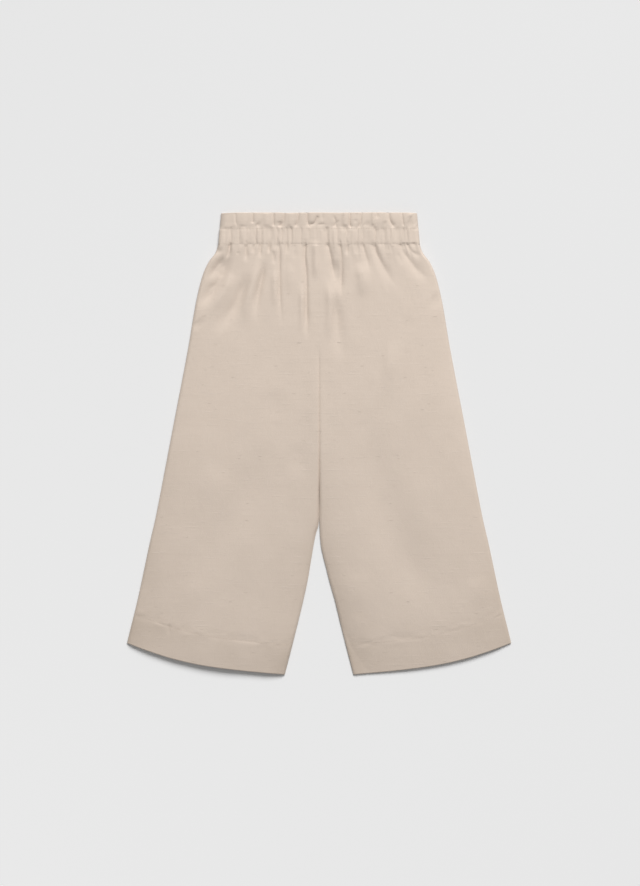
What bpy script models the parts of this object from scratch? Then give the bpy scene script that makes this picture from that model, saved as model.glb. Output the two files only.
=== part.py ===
"""Child's paperbag-waist culottes in linen, laid flat with the front up, as separate cut pieces.

The wearer's right is at -X, the waist at +Y, and +Z is up out of the front. The origin is on the
surface, under the middle of the garment. Lengths below are millimetres, made metres by MM.
"""

from typing import NamedTuple

import bmesh
import bpy
import numpy as np
from mathutils import Vector

MM = 0.001

LENGTH = 530.8
FRILL = 18.5
CASING = 17.5
LEG_LENGTH = LENGTH - FRILL - CASING
SEAM_Y = LENGTH / 2 - FRILL - CASING
HEM_DEPTH = 34.0
HEM_STEP = 1.0
CROTCH_DOWN = 269.0
LEGS_PART_ABOVE = 90.0
LEGS_PART_BELOW = 25.0

WALL = 1.0
GAP = 0.3
HALF_GAP = GAP / 2
HEM_WALL = 2 * WALL
EDGE_SOFTNESS = 9.0

WAIST_HALF = 115.7
FRILL_HALF = 112.6

ELASTIC_WIDTH = 12.0
ELASTIC_THICK = 1.0
ELASTIC_END = 6.0
CASING_MARGIN = 2.0

LINEN = (0.665, 0.571, 0.479, 1.0)
LINEN_ROUGHNESS = 0.9
ELASTIC_WHITE = (0.78, 0.77, 0.74, 1.0)
ELASTIC_ROUGHNESS = 0.75
SHARP_ANGLE = 0.6


class Section(NamedTuple):
    """The flat outline at one distance below the waist seam: side fold and inner leg edge."""

    down: float
    side: float
    inside: float


SECTIONS = (
    Section(0.0, 115.7, 0.15),
    Section(9.0, 118.7, 0.15),
    Section(20.5, 127.0, 0.15),
    Section(34.0, 133.2, 0.15),
    Section(64.0, 140.9, 0.15),
    Section(116.0, 149.8, 0.15),
    Section(214.0, 168.5, 0.15),
    Section(269.0, 179.0, 0.15),
    Section(317.0, 188.4, 2.2),
    Section(340.0, 193.8, 5.4),
    Section(409.0, 208.6, 18.1),
    Section(455.0, 219.9, 29.3),
    Section(495.0, 229.0, 39.6),
)


class HemPoint(NamedTuple):
    """Where the hem edge lies, from the inner leg edge (across 0) to the side fold (across 1)."""

    across: float
    down: float


HEM = (
    HemPoint(0.0, LEG_LENGTH),
    HemPoint(0.25, 490.5),
    HemPoint(0.5, 484.5),
    HemPoint(0.7, 476.6),
    HemPoint(0.85, 468.3),
    HemPoint(0.94, 462.6),
    HemPoint(1.0, 458.6),
)


class Loft(NamedTuple):
    """How far the front panel stands clear of the back panel at one distance below the waist seam."""

    down: float
    clear: float


LOFT = (
    Loft(0.0, 2.9),
    Loft(12.0, 3.4),
    Loft(40.0, 2.6),
    Loft(100.0, 1.5),
    Loft(220.0, 0.9),
    Loft(420.0, 0.8),
    Loft(LEG_LENGTH, 0.1),
)


class Fold(NamedTuple):
    """A furrow (height below 0) or ridge in the front, from `start` below the seam to its tip."""

    top_x: float
    tip_x: float
    start: float
    reach: float
    height: float
    half_width: float


FOLDS = (
    Fold(-103.0, -114.0, 0.0, 30.0, -1.6, 4.5),
    Fold(-90.0, -137.0, 0.0, 84.0, -2.3, 8.0),
    Fold(-97.0, -107.0, 20.0, 60.0, 0.9, 5.0),
    Fold(-60.0, -71.0, 0.0, 96.0, -1.7, 5.5),
    Fold(-66.0, -84.0, 12.0, 100.0, 1.1, 8.0),
    Fold(-47.0, -41.0, 0.0, 104.0, -1.9, 4.5),
    Fold(-10.5, -11.5, 0.0, 118.0, -2.4, 5.0),
    Fold(13.5, 19.5, 0.0, 74.0, -1.4, 4.5),
    Fold(22.0, 30.0, 0.0, 140.0, -2.2, 5.5),
    Fold(49.0, 58.0, 0.0, 38.0, -1.8, 4.5),
    Fold(46.0, 55.0, 16.0, 72.0, 1.3, 8.0),
    Fold(70.0, 97.0, 0.0, 66.0, -2.5, 5.5),
    Fold(98.0, 133.0, 0.0, 50.0, -2.5, 6.0),
    Fold(128.0, 142.0, 44.0, 44.0, -1.5, 9.0),
)


FOLD_HEAD = 0.3


class Gather(NamedTuple):
    """One furrow of the gathered waistband: its place at the frill's top edge and at the seam."""

    top_x: float
    seam_x: float
    depth: float


GATHERS = (
    Gather(-105.0, -101.5, 1.5),
    Gather(-91.0, -88.0, 0.7),
    Gather(-71.5, -72.5, 1.3),
    Gather(-47.0, -48.5, 1.5),
    Gather(-27.0, -32.5, 1.1),
    Gather(-7.5, -14.0, 1.6),
    Gather(18.5, 8.0, 1.3),
    Gather(40.0, 33.0, 1.0),
    Gather(54.0, 49.0, 1.2),
    Gather(67.0, 64.0, 0.8),
    Gather(83.0, 82.0, 1.3),
    Gather(103.0, 101.0, 1.6),
)
GATHER_HALF = 2.6
GATHER_SHOULDER = 1.6 * GATHER_HALF
GATHER_CREST = 1.2


class BandPoint(NamedTuple):
    """One station up the waistband: the back band's inner face, the front's outer, and how gathered."""

    up: float
    back_inner: float
    front_outer: float
    gathered: float


BAND = (
    BandPoint(HALF_GAP, 2.3, 5.2, 0.4),
    BandPoint(CASING_MARGIN, 3.6, 7.5, 0.7),
    BandPoint(CASING / 2, 3.6, 7.7, 1.0),
    BandPoint(CASING - CASING_MARGIN, 3.6, 7.5, 0.7),
    BandPoint(CASING, 2.0, 4.4, 0.3),
    BandPoint(CASING + 5.0, 2.0, 4.6, 1.0),
    BandPoint(CASING + 12.0, 2.0, 4.4, 1.1),
    BandPoint(CASING + FRILL, 1.7, 3.9, 0.9),
)
BAND_HEIGHT = CASING + FRILL
BAND_END_DROP = 1.9
BAND_END_ROUND = 3.0
NOTCH_DEEP = 0.6
NOTCH_TAPER = 0.15
BACK_NOTCH = 1.0
FRONT_NOTCH = 4.0
BACK_BAND_COLUMNS = 14

HEM_LINE = LEG_LENGTH - HEM_DEPTH
HEM_ROWS = (HEM_LINE - HEM_STEP, HEM_LINE + HEM_STEP, LEG_LENGTH - HEM_DEPTH / 2, LEG_LENGTH)
FRONT_ROWS = (
    0, 4, 9, 15, 22, 30, 39, 49, 60, 73, 88, 106, 128, 155, 190, 230, 275, 320, 365, 415, *HEM_ROWS,
)
BACK_ROWS = (0, 20, 40, 70, 116, 190, 269, 340, 409, *HEM_ROWS)
FRONT_COLUMNS = 28
BACK_COLUMNS = 12
RIM_COLUMNS = (0.012, 0.03)

SIDES = {"right": -1, "left": 1}


def smooth(at, knots, values):
    """A monotone cubic through the knots, so that an outline has no kink and no overshoot."""
    knots = np.asarray(knots, float)
    values = np.asarray(values, float)
    run = np.diff(knots)
    slope = np.diff(values) / run
    product = slope[:-1] * slope[1:]
    total = slope[:-1] + slope[1:]
    middle = np.divide(2 * product, total, out=np.zeros_like(product), where=product > 0)
    tangent = np.concatenate([slope[:1], middle, slope[-1:]])
    i = int(np.clip(np.searchsorted(knots, at) - 1, 0, len(run) - 1))
    t = np.clip((at - knots[i]) / run[i], 0, 1)
    start = (1 + 2 * t) * (1 - t) ** 2 * values[i] + t * (1 - t) ** 2 * run[i] * tangent[i]
    end = t**2 * (3 - 2 * t) * values[i + 1] - t**2 * (1 - t) * run[i] * tangent[i + 1]
    return float(start + end)


def column(table, name):
    """One named column of a table of rows."""
    return [getattr(row, name) for row in table]


def ease(low, high, value):
    """0 below low, 1 above high, and a soft step between."""
    t = np.clip((value - low) / (high - low), 0, 1)
    return float(t * t * (3 - 2 * t))


class Place(NamedTuple):
    """A point of the flat outline: its place, its drop below the seam, its distance to both edges."""

    x: float
    y: float
    down: float
    from_side: float
    from_inside: float


def plan(side, across, row):
    """The place of a point `across` the leg, from its inner edge to its side fold, on one row."""
    hem = smooth(across, column(HEM, "across"), column(HEM, "down"))
    down = row + (hem - LEG_LENGTH) * min(1.0, row / HEM_LINE) ** 2
    downs = column(SECTIONS, "down")
    outer = smooth(down, downs, column(SECTIONS, "side"))
    inner = smooth(down, downs, column(SECTIONS, "inside"))
    width = outer - inner
    x = side * (inner + across * width)
    y = SEAM_Y - max(down, HALF_GAP)
    return Place(x, y, down, (1 - across) * width, across * width)


def wall_at(row):
    """The cloth's thickness: doubled where the hem is turned up and stitched."""
    return HEM_WALL if row > HEM_LINE else WALL


def fold_height(x, down):
    """The sum of the front's furrows and ridges at one point."""
    height = 0.0
    for fold in FOLDS:
        t = (down - fold.start) / fold.reach
        if not 0 <= t < 1:
            continue
        head = 1.0 if fold.start == 0 else ease(0, FOLD_HEAD, t)
        taper = head * (1 - t) ** 2 * (1 + 3 * t)
        middle = fold.top_x + (fold.tip_x - fold.top_x) * t
        spread = fold.half_width * (1 + t)
        height += fold.height * taper * np.exp(-(((x - middle) / spread) ** 2))
    return height


def front_clearance(place):
    """How far the front panel's inner face lies above the back panel's, past the seam gap."""
    below_crotch = ease(CROTCH_DOWN - LEGS_PART_ABOVE, CROTCH_DOWN + LEGS_PART_BELOW, place.down)
    at_side = 1 - np.exp(-place.from_side / EDGE_SOFTNESS)
    at_inside = 1 - np.exp(-place.from_inside / EDGE_SOFTNESS)
    rim = at_side * (1 - below_crotch * (1 - at_inside))
    clear = smooth(place.down, column(LOFT, "down"), column(LOFT, "clear"))
    return max(0.0, rim * (clear + fold_height(place.x, place.down)))


def back_faces(place, row):
    """The heights of the back panel's outer and inner faces. The outer one rests on the surface."""
    return 0.0, wall_at(row)


def front_faces(place, row):
    """The heights of the front panel's inner and outer faces."""
    inner = wall_at(row) + GAP + front_clearance(place)
    return inner, inner + wall_at(row)


def new_object(name, mesh, material):
    """Links a finished bmesh as a named object with outward faces."""
    bmesh.ops.recalc_face_normals(mesh, faces=mesh.faces)
    data = bpy.data.meshes.new(name)
    mesh.to_mesh(data)
    mesh.free()
    data.shade_smooth()
    data.set_sharp_from_angle(angle=SHARP_ANGLE)
    data.materials.append(material)
    made = bpy.data.objects.new(name, data)
    bpy.context.scene.collection.objects.link(made)


def leg_panel(name, side, faces, rows, columns, material):
    """A leg panel: a grid laid in the flat outline, extruded to the cloth's thickness."""
    middle = np.linspace(0, 1, columns + 1)[1:-1]
    across = [0.0, *RIM_COLUMNS, *middle, *(1 - rim for rim in reversed(RIM_COLUMNS)), 1.0]
    wide = len(across) - 1
    long = len(rows) - 1
    mesh = bmesh.new()
    bmesh.ops.create_grid(mesh, x_segments=wide, y_segments=long, size=0.5)
    lower = list(mesh.verts)
    made = bmesh.ops.extrude_face_region(mesh, geom=mesh.faces[:], use_keep_orig=True)
    upper = [item for item in made["geom"] if isinstance(item, bmesh.types.BMVert)]
    for face, verts in enumerate((lower, upper)):
        for vert in verts:
            i = round((0.5 + vert.co.x) * wide)
            j = round((0.5 - vert.co.y) * long)
            place = plan(side, across[i], rows[j])
            vert.co = Vector((place.x, place.y, faces(place, rows[j])[face])) * MM
    new_object(name, mesh, material)


def gather_height(x, up):
    """The gathered cloth's rise above the band's lowest line: crests between pinched furrows."""
    height = GATHER_CREST
    for gather in GATHERS:
        middle = gather.seam_x + (gather.top_x - gather.seam_x) * up / BAND_HEIGHT
        height -= gather.depth * np.exp(-(((x - middle) / GATHER_HALF) ** 2))
    return max(height, 0.0)


def front_band_columns():
    """Places across the front band, at the seam and at the top: each furrow and its shoulders."""
    seam = [-WAIST_HALF, BAND_END_ROUND - WAIST_HALF]
    top = [-FRILL_HALF, BAND_END_ROUND - FRILL_HALF]
    for gather in GATHERS:
        seam += [gather.seam_x - GATHER_SHOULDER, gather.seam_x, gather.seam_x + GATHER_SHOULDER]
        top += [gather.top_x - GATHER_SHOULDER, gather.top_x, gather.top_x + GATHER_SHOULDER]
    seam += [WAIST_HALF - BAND_END_ROUND, WAIST_HALF]
    top += [FRILL_HALF - BAND_END_ROUND, FRILL_HALF]
    return list(zip(seam, top))


def back_band_columns():
    """Places across the plain back band, at the seam and at the top."""
    near_end = 1 - BAND_END_ROUND / WAIST_HALF
    shares = [-1.0, *np.linspace(-near_end, near_end, BACK_BAND_COLUMNS), 1.0]
    return [(share * WAIST_HALF, share * FRILL_HALF) for share in shares]


def slot_corners(lower, outer):
    """The elastic's slot, from the seam in along its roof and back along its floor."""
    deep = CASING - CASING_MARGIN
    return [
        (HALF_GAP, outer[0] - WALL),
        (CASING_MARGIN, outer[1] - WALL),
        (deep, outer[1] - WALL),
        (deep, lower[1] + WALL),
        (CASING_MARGIN, lower[1] + WALL),
        (HALF_GAP, lower[0] + WALL),
    ]


def notch_corners(floor):
    """The slot shrunk to a notch, where the band closes at a side fold."""
    ups = (HALF_GAP, NOTCH_DEEP / 2, NOTCH_DEEP)
    roof = [(up, floor + GAP - NOTCH_TAPER * up) for up in ups]
    return roof + [(up, floor + NOTCH_TAPER * up) for up in reversed(ups)]


def waistband(name, front, places, material):
    """A waistband half: two walls round the elastic's slot, and doubled cloth in the frill above."""
    ups = column(BAND, "up")
    back_inner = column(BAND, "back_inner")
    mesh = bmesh.new()
    rings = []
    resting = [(HALF_GAP, 0.0), (BAND_HEIGHT, 0.0)]
    for i, (seam_x, top_x) in enumerate(places):
        at_end = i in (0, len(places) - 1)
        lower = [z + GAP for z in back_inner] if front else [0.0, 0.0]
        outer = column(BAND, "front_outer") if front else back_inner
        if front and at_end:
            outer = [max(z - BAND_END_DROP, low + WALL) for z, low in zip(outer, lower)]
            outer[0] = FRONT_NOTCH + 2 * GAP + HALF_GAP
        lean = [seam_x + (top_x - seam_x) * up / BAND_HEIGHT for up in ups]
        upper = list(outer)
        if front and not at_end:
            waves = [gather_height(x, up) for x, up in zip(lean, ups)]
            upper = [z + wave * point.gathered for z, wave, point in zip(outer, waves, BAND)]
        corners = list(zip(ups, lower)) if front else list(resting)
        corners += list(zip(reversed(ups), reversed(upper)))
        notch = FRONT_NOTCH if front else BACK_NOTCH
        corners += notch_corners(notch) if at_end else slot_corners(lower, outer)
        ring = []
        for up, z in corners:
            x = seam_x + (top_x - seam_x) * up / BAND_HEIGHT
            ring.append(mesh.verts.new(Vector((x, SEAM_Y + up, z)) * MM))
        rings.append(ring)
    count = len(rings[0])
    for near, far in zip(rings, rings[1:]):
        for i in range(count):
            j = (i + 1) % count
            mesh.faces.new((near[i], near[j], far[j], far[i]))
    caps = [mesh.faces.new(rings[0]), mesh.faces.new(rings[-1])]
    bmesh.ops.triangulate(mesh, faces=caps)
    new_object(name, mesh, material)


def elastic(name, height, material):
    """A flat elastic strip in its slot, clear of the walls all round."""
    half_length = WAIST_HALF - ELASTIC_END
    mesh = bmesh.new()
    bmesh.ops.create_cube(mesh, size=1.0)
    bmesh.ops.scale(mesh, verts=mesh.verts, vec=Vector((2 * half_length, ELASTIC_WIDTH, ELASTIC_THICK)) * MM)
    middle = Vector((0, SEAM_Y + CASING / 2, height + ELASTIC_THICK / 2)) * MM
    bmesh.ops.translate(mesh, verts=mesh.verts, vec=middle)
    new_object(name, mesh, material)


def plain_material(name, colour, roughness):
    """A Principled material of one colour."""
    material = bpy.data.materials.new(name)
    material.use_nodes = True
    shader = material.node_tree.nodes["Principled BSDF"]
    shader.inputs["Base Color"].default_value = colour
    shader.inputs["Roughness"].default_value = roughness
    shader.inputs["Metallic"].default_value = 0.0
    return material


def main():
    """Clears the scene and builds every piece."""
    for old in list(bpy.data.objects):
        bpy.data.objects.remove(old, do_unlink=True)
    linen = plain_material("linen", LINEN, LINEN_ROUGHNESS)
    webbing = plain_material("elastic", ELASTIC_WHITE, ELASTIC_ROUGHNESS)
    for word, side in SIDES.items():
        leg_panel("back_leg_" + word, side, back_faces, BACK_ROWS, BACK_COLUMNS, linen)
        leg_panel("front_leg_" + word, side, front_faces, FRONT_ROWS, FRONT_COLUMNS, linen)
    waistband("waistband_back", False, back_band_columns(), linen)
    waistband("waistband_front", True, front_band_columns(), linen)
    elastic("elastic_back", WALL + GAP, webbing)
    elastic("elastic_front", BAND[1].back_inner + WALL + 2 * GAP, webbing)


main()
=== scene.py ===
"""Linen culottes laid flat with the front up: cloth, gathers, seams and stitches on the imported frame.

Working sizes are millimetres in the frame's axes, with `down` counted from the waist seam towards
the hems, and negative in the waistband above it. They become metres when a mesh is written.
"""

import logging
import math
from dataclasses import dataclass, field, replace
from enum import Enum
from typing import Callable, NamedTuple, Optional, Sequence

import bmesh
import bpy
import numpy as np
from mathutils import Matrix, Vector

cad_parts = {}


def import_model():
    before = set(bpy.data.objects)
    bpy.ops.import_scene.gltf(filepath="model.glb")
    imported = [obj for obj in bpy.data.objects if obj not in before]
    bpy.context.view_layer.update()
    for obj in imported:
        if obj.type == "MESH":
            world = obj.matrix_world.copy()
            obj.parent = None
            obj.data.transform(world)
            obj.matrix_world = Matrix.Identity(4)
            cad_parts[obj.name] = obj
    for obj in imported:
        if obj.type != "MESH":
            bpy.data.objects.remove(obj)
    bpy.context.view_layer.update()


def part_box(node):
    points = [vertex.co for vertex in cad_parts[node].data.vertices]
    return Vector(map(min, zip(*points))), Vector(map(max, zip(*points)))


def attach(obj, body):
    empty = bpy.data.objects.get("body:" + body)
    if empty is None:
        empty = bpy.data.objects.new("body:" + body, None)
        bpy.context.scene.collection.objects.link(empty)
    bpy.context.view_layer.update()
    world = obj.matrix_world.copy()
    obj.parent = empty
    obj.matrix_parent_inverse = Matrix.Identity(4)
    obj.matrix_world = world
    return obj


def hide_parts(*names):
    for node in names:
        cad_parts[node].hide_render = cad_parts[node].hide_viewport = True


LOG = logging.getLogger("culottes")
MM = 0.001
BODY = "root"
SEAM_GAP = 0.15
TINY = 1e-6
Pair = tuple[float, float]
Span = tuple[float, float, float]
Colour = tuple[float, float, float]
Array = np.ndarray
Faces = tuple[Array, Array]
Socket = bpy.types.NodeSocket
Material = bpy.types.Material
Piece = bpy.types.Object


class Side(Enum):
    """The wearer's side of a leg panel, as the sign of its x."""

    RIGHT = -1
    LEFT = 1


class Start(Enum):
    """How a crease begins: at full depth in a seam, or rising softly out of smooth cloth."""

    SEAM = 0.0
    OPEN = 0.35


# ------------------------------------------------------------------------------- small sums


def ease(low: float, high: float, value: Array) -> Array:
    """A soft step, which leaves 0 at `low` and reaches 1 at `high`."""
    t = np.clip((value - low) / (high - low), 0.0, 1.0)
    return t * t * (3.0 - 2.0 * t)


def bell(distance: Array, reach: float, crisp: float = 2.0) -> Array:
    """1 at no distance, dying away over a reach."""
    return np.exp(-((distance / reach) ** crisp))


def roll(distance: Array, radius: float | Array, fullness: float = 0.75) -> Array:
    """The profile of a rolled edge: 0 on the edge, 1 a radius in, curved between.

    Args:
        distance: Distance in from the edge.
        radius: How far in the roll reaches.
        fullness: 0.5 for a quarter circle, and more for a flatter fold.

    Returns:
        The share of the full height at each distance.
    """
    t = np.clip(distance / radius, 0.0, 1.0)
    return np.clip(1.0 - (1.0 - t) ** 2, 0.0, 1.0) ** fullness


QUARTER_CIRCLE = 0.5
LEAST_OPEN = 0.06


def folded(outer: Array, inner: Array, from_fold: Array,
           radius: float) -> Faces:
    """Brings the two faces of a sheet together in a round fold.

    Args:
        outer: The outer face's heights.
        inner: The inner face's heights.
        from_fold: Distances from the fold.
        radius: How far the fold's roundness reaches.

    Returns:
        Both faces' heights.
    """
    full = np.clip(roll(from_fold, radius, QUARTER_CIRCLE), LEAST_OPEN, 1.0)
    middle = 0.5 * (outer + inner)
    return middle + (outer - middle) * full, middle + (inner - middle) * full


def cubic(at: Array, knots: Array, values: Array, inner_slope: Array) -> Array:
    """A smooth curve through values at rising knots.

    Args:
        at: Where to read the curve.
        knots: The knots' positions.
        values: The curve's values at them.
        inner_slope: Its slope at all but the two end knots.

    Returns:
        The curve's values.
    """
    run = np.diff(knots)
    slope = np.diff(values) / run
    tangent = np.concatenate([slope[:1], inner_slope, slope[-1:]])
    i = np.clip(np.searchsorted(knots, at) - 1, 0, len(run) - 1)
    t = np.clip((at - knots[i]) / run[i], 0.0, 1.0)
    start = (1 + 2 * t) * (1 - t) ** 2 * values[i] + t * (1 - t) ** 2 * run[i] * tangent[i]
    end = t**2 * (3 - 2 * t) * values[i + 1] - t**2 * (1 - t) * run[i] * tangent[i + 1]
    return start + end


def through(at: Array, table: Sequence[Pair]) -> Array:
    """A smooth curve through a short table of (position, value) rows, with no overshoot between them.

    Args:
        at: Where to read the curve.
        table: Rows of (position, value), positions rising.

    Returns:
        The curve's values.
    """
    knots, values = np.array(table, float).T
    slope = np.diff(values) / np.diff(knots)
    product = slope[:-1] * slope[1:]
    total = slope[:-1] + slope[1:]
    middle = np.divide(2.0 * product, total, out=np.zeros_like(product), where=product > 0)
    return cubic(at, knots, values, middle)


def steps(*spans: Span) -> Array:
    """Stations along a side of a sheet, from spans of (from, to, spacing)."""
    parts = [np.linspace(a, b, max(1, round((b - a) / gap)), endpoint=False) for a, b, gap in spans]
    return np.concatenate([*parts, [spans[-1][1]]])


@dataclass(frozen=True)
class Unevenness:
    """Soft random hills and hollows over the cloth, the same on every run."""

    seed: int
    cell_x: float
    cell_down: float
    height: float = 1.0
    lattice: int = 64

    def at(self, x: Array, down: Array) -> Array:
        """Reads the hills.

        Args:
            x: Places across.
            down: Places down.

        Returns:
            Heights, from about -`height` to `height`.
        """
        table = np.random.default_rng(self.seed).uniform(-1.0, 1.0, (self.lattice, self.lattice))
        u = x / self.cell_x + self.lattice / 2
        v = down / self.cell_down + self.lattice / 2
        i = np.floor(u).astype(int)
        j = np.floor(v).astype(int)
        s = ease(0.0, 1.0, u - i)
        t = ease(0.0, 1.0, v - j)

        def corner(a: int, b: int) -> Array:
            """One corner of each cell."""
            return table[(i + a) % self.lattice, (j + b) % self.lattice]

        near = corner(0, 0) * (1 - s) + corner(1, 0) * s
        far = corner(0, 1) * (1 - s) + corner(1, 1) * s
        return self.height * (near * (1 - t) + far * t)


BROAD_PLEATS = Unevenness(11, 9.0, 40.0, 0.75)
NARROW_PLEATS = Unevenness(15, 4.6, 26.0, 0.35)
LEG_SWELL = Unevenness(12, 38.0, 60.0, 0.45)
LEG_RIPPLE = Unevenness(13, 15.0, 19.0, 0.14)
LEG_GRAIN = Unevenness(14, 4.2, 6.0, 0.025)
HEM_PUCKER = Unevenness(21, 6.5, 4.2, 0.15)
HEM_PULL = Unevenness(22, 13.0, 60.0)
HEM_RIPPLE = Unevenness(23, 17.0, 10.0, 0.32)
BACK_PLEATS = Unevenness(31, 8.0, 50.0, 0.5)
BACK_SWELL = Unevenness(32, 30.0, 60.0, 0.10)
GATHER_WANDER = Unevenness(41, 9.0, 7.0, 0.7)
FINE_GATHERS = Unevenness(42, 2.7, 14.0, 0.34)
FRILL_RIPPLE = Unevenness(43, 6.0, 16.0, 0.25)
FRILL_SWELL = Unevenness(44, 19.0, 22.0, 0.60)
FRILL_FOOT = Unevenness(45, 2.8, 3.0, 0.08)
FRILL_EDGE = Unevenness(46, 12.0, 90.0, 0.45)
# How unevenly strong the leg panels' painted shade is.
PAINTED_SHADE_CLOUDS = Unevenness(61, 26.0, 40.0, 0.5)


# ------------------------------------------------------------------------------- creases


LINE_PIECES = 16
CREASE_REACH = 4.0


@dataclass(frozen=True)
class Crease:
    """One furrow (height below 0) or ridge (above 0), drawn on the laid cloth.

    `path` holds (x, down) points. `crisp` is 1 for a pinched line and 2 for a soft roll. `lean` makes
    the wall on the right of its path, going along it, longer and gentler than the left one.
    """

    path: tuple[Pair, ...]
    height: float
    width: float
    grow: float = 1.5
    crisp: float = 1.5
    start: Start = Start.SEAM
    fade: float = 0.5
    lean: float = 0.0

    def line(self) -> Array:
        """The path as a smooth run of short straight pieces, a point to each row.

        Returns:
            The points, one row each.
        """
        points = np.array(self.path, float)
        along = np.concatenate([[0.0], np.cumsum(np.hypot(*np.diff(points, axis=0).T))])
        at = np.linspace(0.0, along[-1], LINE_PIECES + 1)
        if len(points) < 3:
            return np.stack([np.interp(at, along, values) for values in points.T], axis=1)
        run = np.diff(along)
        curves = []
        for values in points.T:
            slope = np.diff(values) / run
            inner = (slope[:-1] * run[1:] + slope[1:] * run[:-1]) / (run[:-1] + run[1:])
            curves.append(cubic(at, along, values, inner))
        return np.stack(curves, axis=1)

    def relief(self, x: Array, down: Array) -> Array:
        """The crease's height over the cloth.

        Args:
            x: Places across, any shape.
            down: Places down, the same shape.

        Returns:
            The height at each place.
        """
        line = self.line()
        reach = CREASE_REACH * self.width * max(1.0, self.grow)
        low = line.min(axis=0) - reach
        high = line.max(axis=0) + reach
        near = (x > low[0]) & (x < high[0]) & (down > low[1]) & (down < high[1])
        height = np.zeros_like(x)
        if not near.any():
            return height
        place = np.stack([x[near], down[near]], axis=1)
        best = np.full(len(place), np.inf)
        share = np.zeros(len(place))
        turn = np.zeros(len(place))
        for k, (a, b) in enumerate(zip(line, line[1:])):
            run = b - a
            t = np.clip((place - a) @ run / (run @ run), 0.0, 1.0)
            off = place - (a + t[:, None] * run)
            far = np.hypot(off[:, 0], off[:, 1])
            closer = far < best
            best = np.where(closer, far, best)
            share = np.where(closer, (k + t) / LINE_PIECES, share)
            turn = np.where(closer, np.sign(run[0] * off[:, 1] - run[1] * off[:, 0]), turn)
        width = self.width * (1.0 + (self.grow - 1.0) * share) * (1.0 + self.lean * turn)
        swell = ease(-TINY, max(self.start.value, TINY), share)
        fall = 1.0 - ease(1.0 - self.fade, 1.0, share)
        height[near] = self.height * swell * fall * bell(best, width, self.crisp)
        return height

    def mirrored(self, share: float) -> "Crease":
        """The same crease on the other side of the centre line, at a share of its height."""
        path = tuple((-x, down) for x, down in self.path)
        return replace(self, path=path, height=self.height * share, lean=-self.lean)


def total_relief(creases: Sequence[Crease], x: Array, down: Array) -> Array:
    """The height that several creases add up to at each place.

    Args:
        creases: The creases.
        x: Places across.
        down: Places down.

    Returns:
        The height at each place.
    """
    height = np.zeros_like(x)
    for crease in creases:
        height += crease.relief(x, down)
    return height


OPEN = Start.OPEN

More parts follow.
